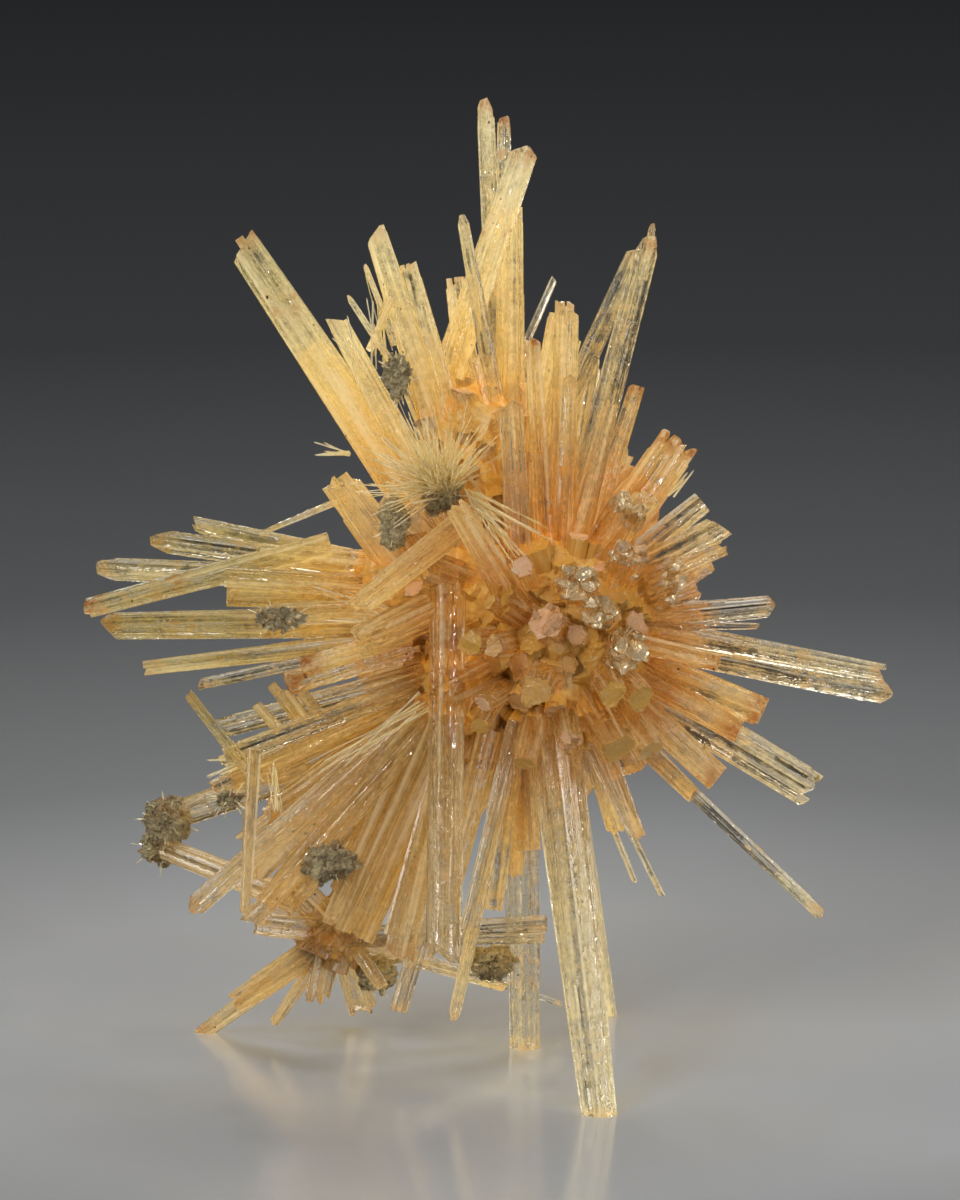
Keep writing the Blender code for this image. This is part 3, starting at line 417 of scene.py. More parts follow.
def back_burst():
    """Crystals on the side that the viewer doesn't see, evenly spread, with stout ones between."""
    chance = random.Random("back")
    made = []
    for i in range(BACK_CRYSTALS):
        depth = 1 - (i + 0.5) / BACK_CRYSTALS * BACK_COVER
        ring = math.sqrt(1 - depth * depth)
        around = golden_turn(i) % math.tau
        across, up = ring * math.cos(around), ring * math.sin(around)
        outline = BACK_OUTLINE[int(around / math.tau * len(BACK_OUTLINE))]
        if i % 3 == 1:
            reach, broad, end = chance.uniform(12.5, 15.5), chance.uniform(4.4, 5.6), "flat"
        else:
            reach = min(chance.uniform(21, 33), outline / max(ring, 0.2))
            broad = chance.uniform(2.2, 4.0)
            end = chance.choice(("slant", "flat", "roof", "spear"))
        hub = (-5.5 if across < 0 else 0.5, 6.0 if up > 0.3 else -2.0, 0.0)
        tip = (hub[0] + across * reach, hub[1] + up * reach, -depth * reach)
        made.append(Crystal(f"back_{i}", hub, tip, broad * 1.2, broad, 0.65, end))
    return made


def look_of(crystal):
    """How clear and how rusty one crystal is, with a tone of its own."""
    chance = random.Random(f"look of {crystal.name}")
    measures = []
    for table, usual, spread in (
        (CLARITY, HONEY_CLARITY, CLARITY_SPREAD), (STAIN, HONEY_STAIN, STAIN_SPREAD)
    ):
        value = next((value for value, names in table.items() if crystal.name in names), usual)
        measures.append(min(max(value + chance.uniform(-spread, spread), 0), 1))
    return Look(*measures, chance.uniform(-1, 1))


def select(*pieces):
    """Selects these pieces alone, with the first of them active."""
    bpy.ops.object.select_all(action="DESELECT")
    for piece in pieces:
        piece.select_set(True)
    bpy.context.view_layer.objects.active = pieces[0]


def add(make, name, **options):
    """The new object that one operator makes, with its name."""
    bpy.ops.object.select_all(action="DESELECT")
    make(**options)
    bpy.context.object.name = name
    return bpy.context.object


@contextmanager
def editing(piece, mode="VERT"):
    """Opens one piece in edit mode, with the points chosen before still selected."""
    select(piece)
    bpy.ops.object.mode_set(mode="EDIT")
    bpy.ops.mesh.select_mode(type=mode)
    yield
    bpy.ops.object.mode_set(mode="OBJECT")


def deselect(mesh):
    """Leaves no point, edge or face of a mesh selected."""
    for element in (*mesh.vertices, *mesh.edges, *mesh.polygons):
        element.select = False


def slice_through(piece, place, normal, **options):
    """Cuts a whole piece by one plane. The options say which side goes and whether the cut closes."""
    with editing(piece):
        bpy.ops.mesh.select_all(action="SELECT")
        bpy.ops.mesh.bisect(plane_co=place, plane_no=normal, threshold=CUT_SNAP, **options)


def cut_ends(piece, length, planes):
    """Cuts the top of an upright crystal by planes through its axis."""
    for drop, tilt, toward in planes:
        lean_out = math.sin(tilt)
        normal = (lean_out * math.cos(toward), lean_out * math.sin(toward), math.cos(tilt))
        slice_through(piece, (0, 0, length - drop), normal, clear_outer=True, use_fill=True)


def column_of(point, columns):
    """Which of the columns round an upright shaft a point is on."""
    return round(math.atan2(point.y, point.x) / math.tau * columns) % columns


def pull(piece, test, share):
    """Moves the points for which test says yes toward the axis of an upright shaft."""
    deselect(piece.data)
    for vert in piece.data.vertices:
        vert.select = test(vert.co)
    with editing(piece):
        bpy.ops.transform.resize(value=(share, share, 1), center_override=(0, 0, 0))


def model_rod(name, columns):
    """An upright round rod one radius wide, its foot at the origin."""
    rod = add(bpy.ops.mesh.primitive_cylinder_add, name, vertices=columns, radius=1, depth=SHAFT)
    rod.location.z = SHAFT / 2
    bpy.ops.object.transform_apply(location=True)
    return rod


def model_shaft(name, columns, groove, ledges):
    """An upright six-sided shaft one radius wide, with grooves along it and ledges that step inward."""
    chance = random.Random(name)
    shaft = model_rod(name, columns)
    heights = sorted(chance.uniform(0.25, 0.94) * SHAFT for _ in range(ledges))
    for height in [0.5 * TIP_ZONE, *heights]:
        for side in (-0.05, 0.05):
            slice_through(shaft, (0, 0, height + side), (0, 0, 1))
    slice_through(shaft, (0, 0, SHAFT - TIP_ZONE), (0, 0, 1))
    for column in range(columns):
        around = column / columns * math.tau % (math.tau / SIDES)
        flat = math.cos(math.pi / SIDES) / math.cos(around - math.pi / SIDES)
        cut_in = 1 - groove * chance.choice((0, 0.1, 0.3, 0.6, 1.0))
        pull(shaft, lambda co, c=column: column_of(co, columns) == c, flat * cut_in)
    for height in heights:
        first, span = chance.randrange(columns), chance.randint(1, max(columns // 5, 1))
        chosen = {(first + step) % columns for step in range(span)}
        pull(
            shaft,
            lambda co, c=chosen, h=height: co.z > h and column_of(co, columns) in c,
            1 - chance.uniform(0.5, 1.4) * groove,
        )
    return shaft


def model_lath(name, end):
    """A thin lath with its end cut, copied for every ridge and step of the larger crystals."""
    chance = random.Random(name)
    lath = model_shaft(name, LATH_COLUMNS, LATH_GROOVE, ledges=2)
    planes = end_planes(end if end != "broken" else "slant", 2.0, chance)
    if end == "broken":
        planes.append((0.2, math.radians(chance.uniform(30, 50)), chance.uniform(0, math.tau)))
    cut_ends(lath, SHAFT, planes)
    return lath


def model_needle():
    """A fine needle with a blunt point."""
    needle = model_rod("model_needle", NEEDLE_COLUMNS)
    slice_through(needle, (0, 0, SHAFT - TIP_ZONE), (0, 0, 1))
    pull(needle, lambda co: co.z > SHAFT - 0.1, NEEDLE_TIP)
    return needle


class Models:
    """The shafts, laths and the needle that are modelled once. Crystals are copies of them."""

    def __init__(self, groove):
        names = [f"model_shaft_{i}" for i in range(MODEL_SHAFTS)]
        self.shafts = [model_shaft(name, FINE_COLUMNS, groove, ledges=5) for name in names]
        self.laths = [model_lath(f"model_lath_{i}", end) for i, end in enumerate(LATH_ENDS)]
        self.needle = model_needle()

    def clear(self):
        for model in (*self.shafts, *self.laths, self.needle):
            bpy.data.objects.remove(model)


def read_points(mesh):
    """The points of a mesh as rows of x, y and z."""
    flat = np.empty(len(mesh.vertices) * 3)
    mesh.vertices.foreach_get("co", flat)
    return flat.reshape(-1, 3)


def write_points(mesh, points):
    """Puts changed points back."""
    mesh.vertices.foreach_set("co", points.ravel())
    mesh.update()


def stretched(model, length, spare, widths, flatness, corners, tip_kept):
    """A copy of a model shaft's mesh at a crystal's length, widths and flatness."""
    mesh = model.data.copy()
    points = read_points(mesh)
    x, y, z = points.T.copy()
    root_width, tip_width = widths
    if tip_kept:
        radius = tip_width / 2
        rest = length - TIP_ZONE * radius
        body = z / (SHAFT - TIP_ZONE) * rest
        z = np.where(z > SHAFT - TIP_ZONE, length - (SHAFT - z) * radius, body)
    else:
        z = z / SHAFT * (length + spare)
    around = np.arctan2(y, x) / math.tau % 1 * SIDES
    corner = around.astype(int) % SIDES
    share = around - around.astype(int)
    uneven = np.array(corners)
    out = uneven[corner] * (1 - share) + uneven[(corner + 1) % SIDES] * share
    out *= (root_width + (tip_width - root_width) * z / length) / 2
    points[:, 0] = x * out
    points[:, 1] = y * out * flatness / math.cos(math.pi / SIDES)
    points[:, 2] = z
    write_points(mesh, points)
    return mesh


def mark(mesh, length, look, chance):
    """Writes what the crystal's material reads: its grain, its distance from the tip and its look."""
    points = read_points(mesh)
    grain = mesh.attributes.new("grain", "FLOAT_VECTOR", "POINT")
    grain.data.foreach_set("vector", (points + three(chance, 0, 90)).ravel())
    values = {"from_tip": np.maximum(length - points[:, 2], 0)}
    for name, value in look._asdict().items():
        values[name] = np.full(len(points), value)
    for name, value in values.items():
        mesh.attributes.new(name, "FLOAT", "POINT").data.foreach_set("value", value)


def link(mesh, name):
    """A new object for a mesh, at the origin."""
    piece = bpy.data.objects.new(name, mesh)
    bpy.context.scene.collection.objects.link(piece)
    return piece


def trim_foot(piece):
    """Cuts off what would reach below the surface."""
    if read_points(piece.data)[:, 2].min() < FOOT_CUT:
        slice_through(piece, (0, 0, FOOT_CUT), (0, 0, 1), clear_inner=True, use_fill=True)


def grown_together(prism, laths):
    """Joins the laths to their prism, so that no wall is left inside the crystal."""
    if not laths:
        return
    members = bpy.data.collections.new("members")
    for lath in laths:
        members.objects.link(lath)
    step = prism.modifiers.new("grown together", "BOOLEAN")
    step.operation = "UNION"
    step.operand_type = "COLLECTION"
    step.collection = members
    step.solver = "MANIFOLD"
    select(prism)
    bpy.ops.object.modifier_apply(modifier=step.name)
    prism.data.materials.clear()
    bpy.data.collections.remove(members)
    for lath in laths:
        bpy.data.objects.remove(lath)


def bundle_of(crystal, models, ridges, frosted):
    """One crystal as it grows: a fluted prism with thinner laths along its sides and at its end."""
    chance = random.Random(crystal.name)
    root, tip = Vector(crystal.root), Vector(crystal.tip)
    length = (tip - root).length
    corners = [chance.uniform(0.88, 1.06) for _ in range(SIDES)]
    planes = end_planes(crystal.end, crystal.tip_width, chance)
    place = stand() @ lean(root, tip, chance.uniform(-0.35, 0.35))
    widths = (crystal.root_width, crystal.tip_width)
    mean = sum(widths) / 2
    ragged = crystal.end in ("slant", "roof") and mean > RAGGED_WIDTH
    reach = length - (chance.uniform(0.04, 0.2) * crystal.tip_width if ragged else 0)
    shaft = chance.choice(models.shafts)
    mesh = stretched(shaft, length, crystal.tip_width, widths, crystal.flatness, corners, False)
    prism = link(mesh, crystal.name)
    cut_ends(prism, reach, planes)
    count = round(ridges * (1.5 + mean)) if mean > LATH_WIDTH else 0
    laths = [ridge_lath(crystal, length, (i + 0.5) / count, models, chance) for i in range(count)]
    grown_together(prism, laths)
    if frosted:
        break_end(prism, length, mean, GLITTER if "glitter" in crystal.name else PITS, chance)
    mark(prism.data, length, look_of(crystal), chance)
    prism.data.transform(place)
    trim_foot(prism)
    return prism


def ridge_lath(crystal, length, around, models, chance):
    """A thin lath that stands a little out of one side of a crystal, for part of its length."""
    angle = math.tau * around + chance.uniform(-0.4, 0.4)
    share = chance.uniform(0.26, 0.56)
    offset = 1.01 - share
    side = Vector((math.cos(angle) * offset, math.sin(angle) * offset * crystal.flatness, 0))
    start = chance.choice((0.02, 0.02, chance.uniform(0.05, 0.45)))
    finish = chance.choice((chance.uniform(0.6, 0.9), chance.uniform(0.88, 0.97), 0.985))
    taper = crystal.tip_width - crystal.root_width
    broad = [crystal.root_width + taper * along for along in (start, finish)]
    ends = [
        side * (width / 2) + Vector((0, 0, along * length))
        for width, along in zip(broad, (start, finish))
    ]
    span = (ends[1] - ends[0]).length
    corners = [chance.uniform(0.8, 1.1) for _ in range(SIDES)]
    flat = chance.uniform(0.55, 0.95) * (0.6 + 0.4 * crystal.flatness)
    widths = [share * width for width in broad]
    mesh = stretched(chance.choice(models.laths), span, 0, widths, flat, corners, True)
    mesh.transform(lean(*ends, chance.uniform(0, math.tau)))
    return link(mesh, f"{crystal.name}_lath")


def end_faces(piece, length, width):
    """The faces that close the top of an upright crystal."""
    return [
        face for face in piece.data.polygons
        if face.normal.z > 0.5 and face.center.z > length - width
    ]


def break_end(piece, length, width, relief, chance):
    """Breaks the top of an upright crystal into small uneven facets with the frosted finish."""
    start = chance.uniform(0, math.pi)
    cuts = round(width / 2 / relief.facet)
    for turn in (start, start + 1.2):
        normal = (math.cos(turn), math.sin(turn), 0)
        for i in range(-cuts, cuts + 1):
            place = [(i + chance.uniform(-0.3, 0.3)) * relief.facet * part for part in normal]
            deselect(piece.data)
            for face in end_faces(piece, length, width):
                face.select = True
            with editing(piece, "FACE"):
                bpy.ops.mesh.bisect(plane_co=place, plane_no=normal, threshold=CUT_SNAP)
    faces = end_faces(piece, length, width)
    for i in sorted({i for face in faces for i in face.vertices}):
        piece.data.vertices[i].co.z += chance.uniform(-1.0, 0.35) * relief.depth
    for _ in range(2):
        piece.data.materials.append(None)
    for face in faces:
        face.material_index = 1


def needle_rod(needle, models, look, chance):
    """One fine needle in its place."""
    root, tip = Vector(needle.root), Vector(needle.tip)
    length = (tip - root).length
    widths = (needle.width, needle.width * NEEDLE_TAPER)
    mesh = stretched(models.needle, length, 0, widths, 1, [1] * SIDES, True)
    mark(mesh, length, look, chance)
    mesh.transform(stand() @ lean(root, tip, chance.uniform(0, math.tau)))
    return link(mesh, "needle")


def fuse(name, rods, finishes):
    """Joins rods to one named piece of the cluster, with its finishes in order."""
    for rod in rods:
        indices = [face.material_index for face in rod.data.polygons]
        rod.data.materials.clear()
        for finish in finishes:
            rod.data.materials.append(finish)
        rod.data.polygons.foreach_set("material_index", indices)
    select(*rods)
    if len(rods) > 1:
        bpy.ops.object.join()
    piece = rods[0]
    piece.name = name
    piece.data.name = name
    return piece


def settle(piece, node):
    """Attaches a finished piece to the cluster's body and hides the solid of the model that it stands
    for.
    """
    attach(piece, BODY)
    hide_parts(node)


def arithmetic(operation, swapped=False):
    """A method that adds a Math node. Swapped, the wrapped value comes second."""
    def apply(self, other):
        first, second = (other, self) if swapped else (self, other)
        return self.paint.flow("Math", {0: first, 1: second}, operation=operation)
    return apply


class Flow:
    """A value, colour or vector inside a material. Arithmetic on it adds Math nodes."""

    def __init__(self, paint, socket):
        self.paint = paint
        self.socket = socket

    __add__ = arithmetic("ADD")
    __radd__ = arithmetic("ADD", swapped=True)
    __sub__ = arithmetic("SUBTRACT")
    __rsub__ = arithmetic("SUBTRACT", swapped=True)
    __mul__ = arithmetic("MULTIPLY")
    __truediv__ = arithmetic("DIVIDE")
    larger = arithmetic("MAXIMUM")

    def between(self, low, high):
        """0 below low, 1 above high, and a smooth rise between. With low above high it falls."""
        values = {"Value": self, "From Min": low, "From Max": high}
        return self.paint.flow("MapRange", values, interpolation_type="SMOOTHSTEP")


class Paint:
    """A node material in the making."""

    def __init__(self, name):
        self.material = bpy.data.materials.new(name)
        self.material.use_nodes = True
        self.tree = self.material.node_tree
        self.tree.nodes.clear()

    def node(self, kind, values=None, **settings):
        """Any node: its settings first, then the values or links of its sockets."""
        made = self.tree.nodes.new(f"ShaderNode{kind}")
        for key, value in settings.items():
            setattr(made, key, value)
        for key, value in (values or {}).items():
            socket = made.inputs[key]
            if isinstance(value, Flow):
                self.tree.links.new(value.socket, socket)
            elif socket.type == "RGBA":
                socket.default_value = (*value[:3], 1)
            else:
                socket.default_value = value
        return made

    def flow(self, kind, values=None, out=0, **settings):
        """The same node, as the value that leaves it."""
        return Flow(self, self.node(kind, values, **settings).outputs[out])

    def mix(self, share, first, second):
        """Two colours mixed."""
        values = {0: share, 6: first, 7: second}
        return self.flow("Mix", values, 2, data_type="RGBA", clamp_factor=True)

    def place(self):
        """Where a point is in the whole object, in metres."""
        return self.flow("TexCoord", None, "Object")

    def attribute(self, name):
        """What a crystal's points say about it."""
        return self.flow("Attribute", None, "Fac", attribute_name=name)

    def grain(self, across, along):
        """Where a point is in its crystal, in millimetres, stretched across and along the crystal."""
        grain = self.flow("Attribute", None, "Vector", attribute_name="grain")
        scale = (across, across, along)
        return self.flow("VectorMath", {0: grain, 1: scale}, operation="MULTIPLY")

    def noise(self, vector, scale=1.0, detail=3.0, roughness=0.55):
        """Smooth noise, from 0 to 1."""
        values = {"Vector": vector, "Scale": scale, "Detail": detail, "Roughness": roughness}
        return self.flow("TexNoise", values)

    def cells(self, vector, scale=1.0, out=0):
        """Distance from scattered points, or with out at 1 a colour for each of them."""
        return self.flow("TexVoronoi", {"Vector": vector, "Scale": scale}, out)

    def bump(self, height, distance, strength=1.0, **more):
        """A fine relief of a height given from 0 to 1 and a distance in metres."""
        values = {"Height": height, "Distance": distance, "Strength": strength, **more}
        return self.flow("Bump", values)

    def principled(self, colour, roughness, values):
        """A Principled shader."""
        return self.flow("BsdfPrincipled", {"Base Color": colour, "Roughness": roughness, **values})

    def glow(self, colour, **normal):
        """Light that comes through from behind."""
        return self.flow("BsdfTranslucent", {"Color": colour, **normal})

    def blend(self, share, first, second):
        """Two shaders mixed."""
        return self.flow("MixShader", {0: share, 1: first, 2: second})

    def let_light_in(self, stone, look):
        """The stone as seen, which lets the lamps' light through to the crystals behind, tinted."""
        shadow = self.flow("LightPath", None, "Is Shadow Ray")
        return self.blend(shadow, stone, self.flow("BsdfTransparent", {"Color": look.shade}))

    def see_through(self, stone, look):
        """The material of a stone that the lamps' light passes and thickness darkens."""
        volume = self.flow("VolumeAbsorption", {"Color": look.honey, "Density": look.absorption})
        return self.done(self.let_light_in(stone, look), volume)

    def done(self, surface, volume=None):
        """Connects the output and gives the material."""
        out = self.tree.nodes.new("ShaderNodeOutputMaterial")
        self.tree.links.new(surface.socket, out.inputs["Surface"])
        if volume is not None:
            self.tree.links.new(volume.socket, out.inputs["Volume"])
        return self.material


def zone_colour(paint, look):
    """The colour of the stone by its place: orange at the core, honey further out, straw at the tips,
    and a painted shade that darkens the crystals low at the left.
    """
    place = paint.place()
    hub = stand() @ Vector((0, 0, 0))
    away = paint.flow("VectorMath", {0: place, 1: hub}, "Value", operation="DISTANCE") / MM
    split = paint.node("SeparateXYZ", {0: place})
    across = Flow(paint, split.outputs["X"]) / MM - STANCE.x
    up = Flow(paint, split.outputs["Z"]) / MM - HUB_HEIGHT
    reach = away + paint.attribute("tone") * 3.5
    # low marks the crystals below and left of the hub, which are darkened toward a brown as painted
    # shade
    low = up.between(-2, -14) * across.between(-3, -13)
    front = up.between(-4, -26) * across.between(-12, -6)
    green = across.between(-18, -34) * up.between(-20, -6)
    pale = across.between(-2, -22) * up.between(12, 28)
    colour = paint.mix(reach.between(11, 24), look.amber, look.honey)
    for share, tint in (
        (reach.between(22, 44), look.straw),
        # painted shade: the low crystals darkened toward a brown
        (low * 0.75, look.tea),
        (front * 0.5, look.straw),
        (green * 0.92, look.olive),
        (pale * 0.4, look.straw),
    ):
        colour = paint.mix(share, colour, tint)
    return colour, away


def honey_material(look):
    """Striated honey crystal, milky in streaks and rusty toward its tip."""
    paint = Paint("striated_honey")
    body, away = zone_colour(paint, look)
    clarity = paint.attribute("clarity")
    stain = paint.attribute("stain")
    from_tip = paint.attribute("from_tip")
    streak = paint.noise(paint.grain(1.5, 0.05), detail=2.0)
    fine = paint.noise(paint.grain(4.0, 0.12), detail=1.0)
    cloud = paint.noise(paint.grain(0.35, 0.16), detail=2.0)
    patch = paint.noise(paint.grain(1.1, 0.8), roughness=0.65)

    light = paint.mix(streak.between(0.4, 0.7) * 0.55, body, look.milk)
    light = paint.mix(fine.between(0.55, 0.35) * 0.1, light, look.amber)
    light = paint.mix(patch.between(0.5, 0.3) * 0.25, light, look.honey)
    rust = stain * from_tip.between(3.4, 0.2) * patch.between(0.40, 0.60)
    band = stain * from_tip.between(13, 9) * from_tip.between(5, 9) * patch.between(0.52, 0.66) * 0.8
    smear = stain.between(0.3, 1.0) * cloud.between(0.55, 0.75) * patch.between(0.45, 0.6) * 0.6
    rusty = rust.larger(band).larger(smear)
    light = paint.mix(rusty, light, look.rust)
    specks = paint.cells(paint.grain(0.9, 0.75)).between(0.14, 0.09) * cloud.between(0.5, 0.56)
    light = paint.mix(specks * stain.between(0.1, 0.4), light, look.speck)

    relief = paint.bump(patch, 0.0003, 0.35, Normal=paint.bump(fine, 0.0001, 0.35))
    surface = {"IOR": look.ior, "Normal": relief}
    rough = 0.03 + streak.between(0.5, 0.8) * 0.1 + rusty * 0.4 + (1 - clarity) * 0.06
    clear = paint.mix(look.tint, (1, 1, 1), light)
    glass = paint.principled(clear, rough, {"Transmission Weight": 1.0, **surface})
    skin = paint.principled(light, rough + 0.12, {"Specular IOR Level": 0.15, **surface})
    milky = paint.blend(look.glow, skin, paint.glow(light, Normal=relief))
    core = away.between(17, 8) * 0.15
    milk = (0.9 - clarity) * 0.75 + (streak + patch * 0.6 - 0.8) * 2.2 + rusty + core
    return paint.see_through(paint.blend(milk.between(-0.1, 1.05), glass, milky), look)


def frosted_material(look):
    """The pitted six-sided ends and cleavage faces at the core, orange to rose, with a metallic sparkle
    and a painted whitish highlight on the glitter ends.
    """
    paint = Paint("frosted_end")
    body, _ = zone_colour(paint, look)
    tone = paint.attribute("tone")
    pits = paint.cells(paint.grain(1.0, 1.0), 2.6)
    flakes = paint.cells(paint.grain(1.0, 0.4), 1.3, out=1)
    worn = paint.noise(paint.place(), 900, 4.0)
    glitter_and_painted_glint = paint.attribute("clarity").between(0.7, 0.9)
    colour = paint.mix(0.7, body, look.amber)
    colour = paint.mix(tone.between(-0.2, 0.9) * 0.7, colour, look.rose)
    colour = paint.mix(worn.between(0.5, 0.75) * 0.22, colour, look.milk)
    # Painted highlight: the glitter ends are whitened toward milk as if they caught the lamps.
    colour = paint.mix(glitter_and_painted_glint * 0.55, colour, look.milk)
    colour = paint.mix(pits.between(0.25, 0.1) * 0.25, colour, look.rust)
    relief = paint.bump(pits, 0.00018, 0.4, Normal=paint.bump(flakes, 0.0003, 0.35))
    surface = {"IOR": look.ior, "Normal": relief}
    rough = 0.3 + worn.between(0.4, 0.7) * 0.2 - glitter_and_painted_glint * 0.18
    skin = paint.principled(
        colour, rough, {"Metallic": glitter_and_painted_glint * 0.45, "Specular IOR Level": 0.12, **surface}
    )
    clear = paint.mix(0.8, (1, 1, 1), colour)
    glass = paint.principled(clear, 0.1, {"Transmission Weight": 1.0, **surface})
    sugary = paint.blend(0.1, skin, paint.glow(colour, Normal=relief))
    return paint.see_through(paint.blend(0.12, sugary, glass), look)


def amber_material(look):
    """The massive orange core between the crystals."""
    paint = Paint("amber_core")
    place = paint.place()
    broad = paint.noise(place, 260, 4.0)
    streak = paint.noise(paint.grain(1.8, 0.12))
    colour = paint.mix(broad.between(0.35, 0.75) * 0.3, look.amber, look.honey)
    colour = paint.mix(streak.between(0.5, 0.7) * 0.45, colour, look.honey)
    colour = paint.mix(streak.between(0.5, 0.32) * 0.3, colour, look.rust)
    relief = paint.bump(paint.cells(place, 700, out=1), 0.0004, 0.8)
    surface = {"IOR": look.ior, "Specular IOR Level": 0.25, "Normal": relief}
    return paint.done(paint.principled(colour, 0.22 + broad * 0.15, surface))


def needle_material(look):
    """Fine white needles, glassy and a little milky."""
    paint = Paint("needle_glass")
    streak = paint.noise(paint.grain(6.0, 0.3), detail=2.0)
    colour = paint.mix(paint.attribute("tone").between(-1.0, 1.0) * 0.6, look.frost, look.straw)
    glass = paint.principled(colour, 0.08, {"IOR": look.ior, "Transmission Weight": 1.0})
    skin = paint.principled(colour, 0.2, {"IOR": look.ior})
    milky = paint.blend(0.4, skin, paint.glow(colour))
    stone = paint.blend(0.12 + streak.between(0.3, 0.7) * 0.4, glass, milky)
    return paint.done(paint.let_light_in(stone, look))


def marl_material(look):
    """Crumbly grey-green matrix with dark grains and rusty patches."""
    paint = Paint("crumbly_marl")
    place = paint.place()
    broad = paint.noise(place, 330, 5.0, 0.65)
    fine = paint.noise(place, 2600, 4.0, 0.7)
    grains = paint.cells(place, 2900)
    colour = paint.mix(broad.between(0.35, 0.65), look.marl_dark, look.marl_light)
    colour = paint.mix(fine.between(0.55, 0.72) * 0.7, colour, look.marl_pale)
    colour = paint.mix(paint.noise(place, 500).between(0.56, 0.68) * 0.6, colour, look.marl_rust)
    colour = paint.mix(grains.between(0.2, 0.05) * 0.6, colour, look.speck)
    relief = paint.bump(grains, 0.0003, 0.7, Normal=paint.bump(fine, 0.0004, 0.9))
    return paint.done(paint.principled(colour, 0.75 + fine * 0.25, {"Normal": relief}))


# A painted pool of light on the sheet: how much of its lit colour is left, by the share of the way to
# where it is darkest, the rest being painted shade.
SHEET_PAINTED_LIGHT = ((0.0, 1.0), (0.10, 0.95), (0.2, 0.5), (0.36, 0.2), (0.6, 0.06), (1.0, 0.005))


def sheet_material(studio):
    """A studio sheet with a painted pool of light: pale where the cluster stands, and darker with
    distance as painted shade.
    """
    paint = Paint("graduated_sheet")
    away = paint.flow("VectorMath", {0: paint.place()}, "Value", operation="LENGTH")
    ramp = paint.node("ValToRGB", {0: away / studio.fade_end})
    stops = ramp.color_ramp.elements
    while len(stops) < len(SHEET_PAINTED_LIGHT):
        stops.new(0.5)
    for stop, (position, left) in zip(stops, SHEET_PAINTED_LIGHT):
        stop.position = position
        ends = zip(studio.sheet_dark, studio.sheet_pale)
        stop.color = (*[dark + (pale - dark) * left for dark, pale in ends], 1)
    colour = Flow(paint, ramp.outputs[0])
    return paint.done(paint.principled(colour, studio.sheet_roughness, {"IOR": 1.5}))


def hue(name, description, default):
    """A colour that a user can change."""
    return FloatVectorProperty(
        name=name, description=description, default=default, subtype="COLOR", size=3, min=0, max=1
    )


def number(name, description, default, **limits):
    """A number that a user can change."""
    return FloatProperty(name=name, description=description, default=default, **limits)


class CrystalLook(bpy.types.PropertyGroup):
    """The colours and the form of the crystals."""

    amber: hue("Amber", "Colour of the core", (0.68, 0.36, 0.07))
    honey: hue("Honey", "Colour of the crystals round the core", (0.84, 0.66, 0.29))
    straw: hue("Straw", "Colour of the far tips", (0.93, 0.87, 0.57))
    olive: hue("Olive", "Colour of the tips at the left", (0.44, 0.37, 0.10))
    milk: hue("Milk", "Colour of milky streaks", (0.96, 0.91, 0.70))
    rose: hue("Rose", "Colour of the rosy ends at the core", (0.78, 0.46, 0.29))
    # Painted shade: the brown that darkens the crystals low at the left.
    tea: hue("Tea", "Colour of the shaded crystals low down", (0.50, 0.33, 0.11))
    rust: hue("Rust", "Colour of rusty tips", (0.42, 0.15, 0.035))
    speck: hue("Speck", "Colour of dark grains", (0.03, 0.02, 0.012))
    frost: hue("Frost", "Colour of the fine needles", (0.88, 0.83, 0.70))
    shade: hue("Shade", "Tint of light that passes a crystal", (0.88, 0.79, 0.55))
    marl_dark: hue("Dark marl", "Dark colour of the matrix", (0.20, 0.15, 0.08))
    marl_light: hue("Light marl", "Main colour of the matrix", (0.52, 0.43, 0.24))
    marl_pale: hue("Pale marl", "Colour of pale grains", (0.76, 0.68, 0.44))
    marl_rust: hue("Rusty marl", "Colour of rusty patches", (0.30, 0.15, 0.05))
    tint: number("Tint", "How strongly clear crystal is coloured", 0.36, min=0, max=1)
    glow: number("Glow", "Share of light that milky crystal lets through", 0.55, min=0, max=1)
    ior: number("IOR", "Refraction of aragonite", 1.6, min=1, max=3)
    absorption: number("Absorption", "How quickly thick crystal darkens, per metre", 70, min=0)
    groove: number("Grooves", "Depth of a prism's grooves, over its radius", 0.11, min=0, max=0.4)
    ridges: number("Ridges", "Laths on a prism for each millimetre of width", 1.3, min=0, max=4)
    tuft_needles: IntProperty(
        name="Tuft needles", description="How many needles the tuft has", default=430, min=10, max=900
    )


class StudioLook(bpy.types.PropertyGroup):
    """The sheet that the cluster stands on, the lamps and the camera."""

    # The sheet's painted light: its lit colour at the cluster, its painted shade far away, and where it
    # is darkest.
    sheet_pale: hue("Pale end", "Colour of the sheet at the cluster", (0.44, 0.45, 0.46))
    sheet_dark: hue("Dark end", "Colour of the sheet far away", (0.012, 0.012, 0.014))
    fade_end: number("Fade end", "Where the sheet is darkest", 0.62, unit="LENGTH")
    sheet_radius: number("Sheet radius", "Size of the sheet", 2.4, unit="LENGTH")
    sheet_roughness: number("Sheet roughness", "Roughness of the sheet", 0.16, min=0, max=1)
    sky: number("Sky", "Brightness all round", 0.03, min=0)
    camera_distance: number("Distance", "From the camera to the cluster", 1.5, unit="LENGTH")
    frame_height: number("Frame height", "What the camera takes in", 0.12, unit="LENGTH")


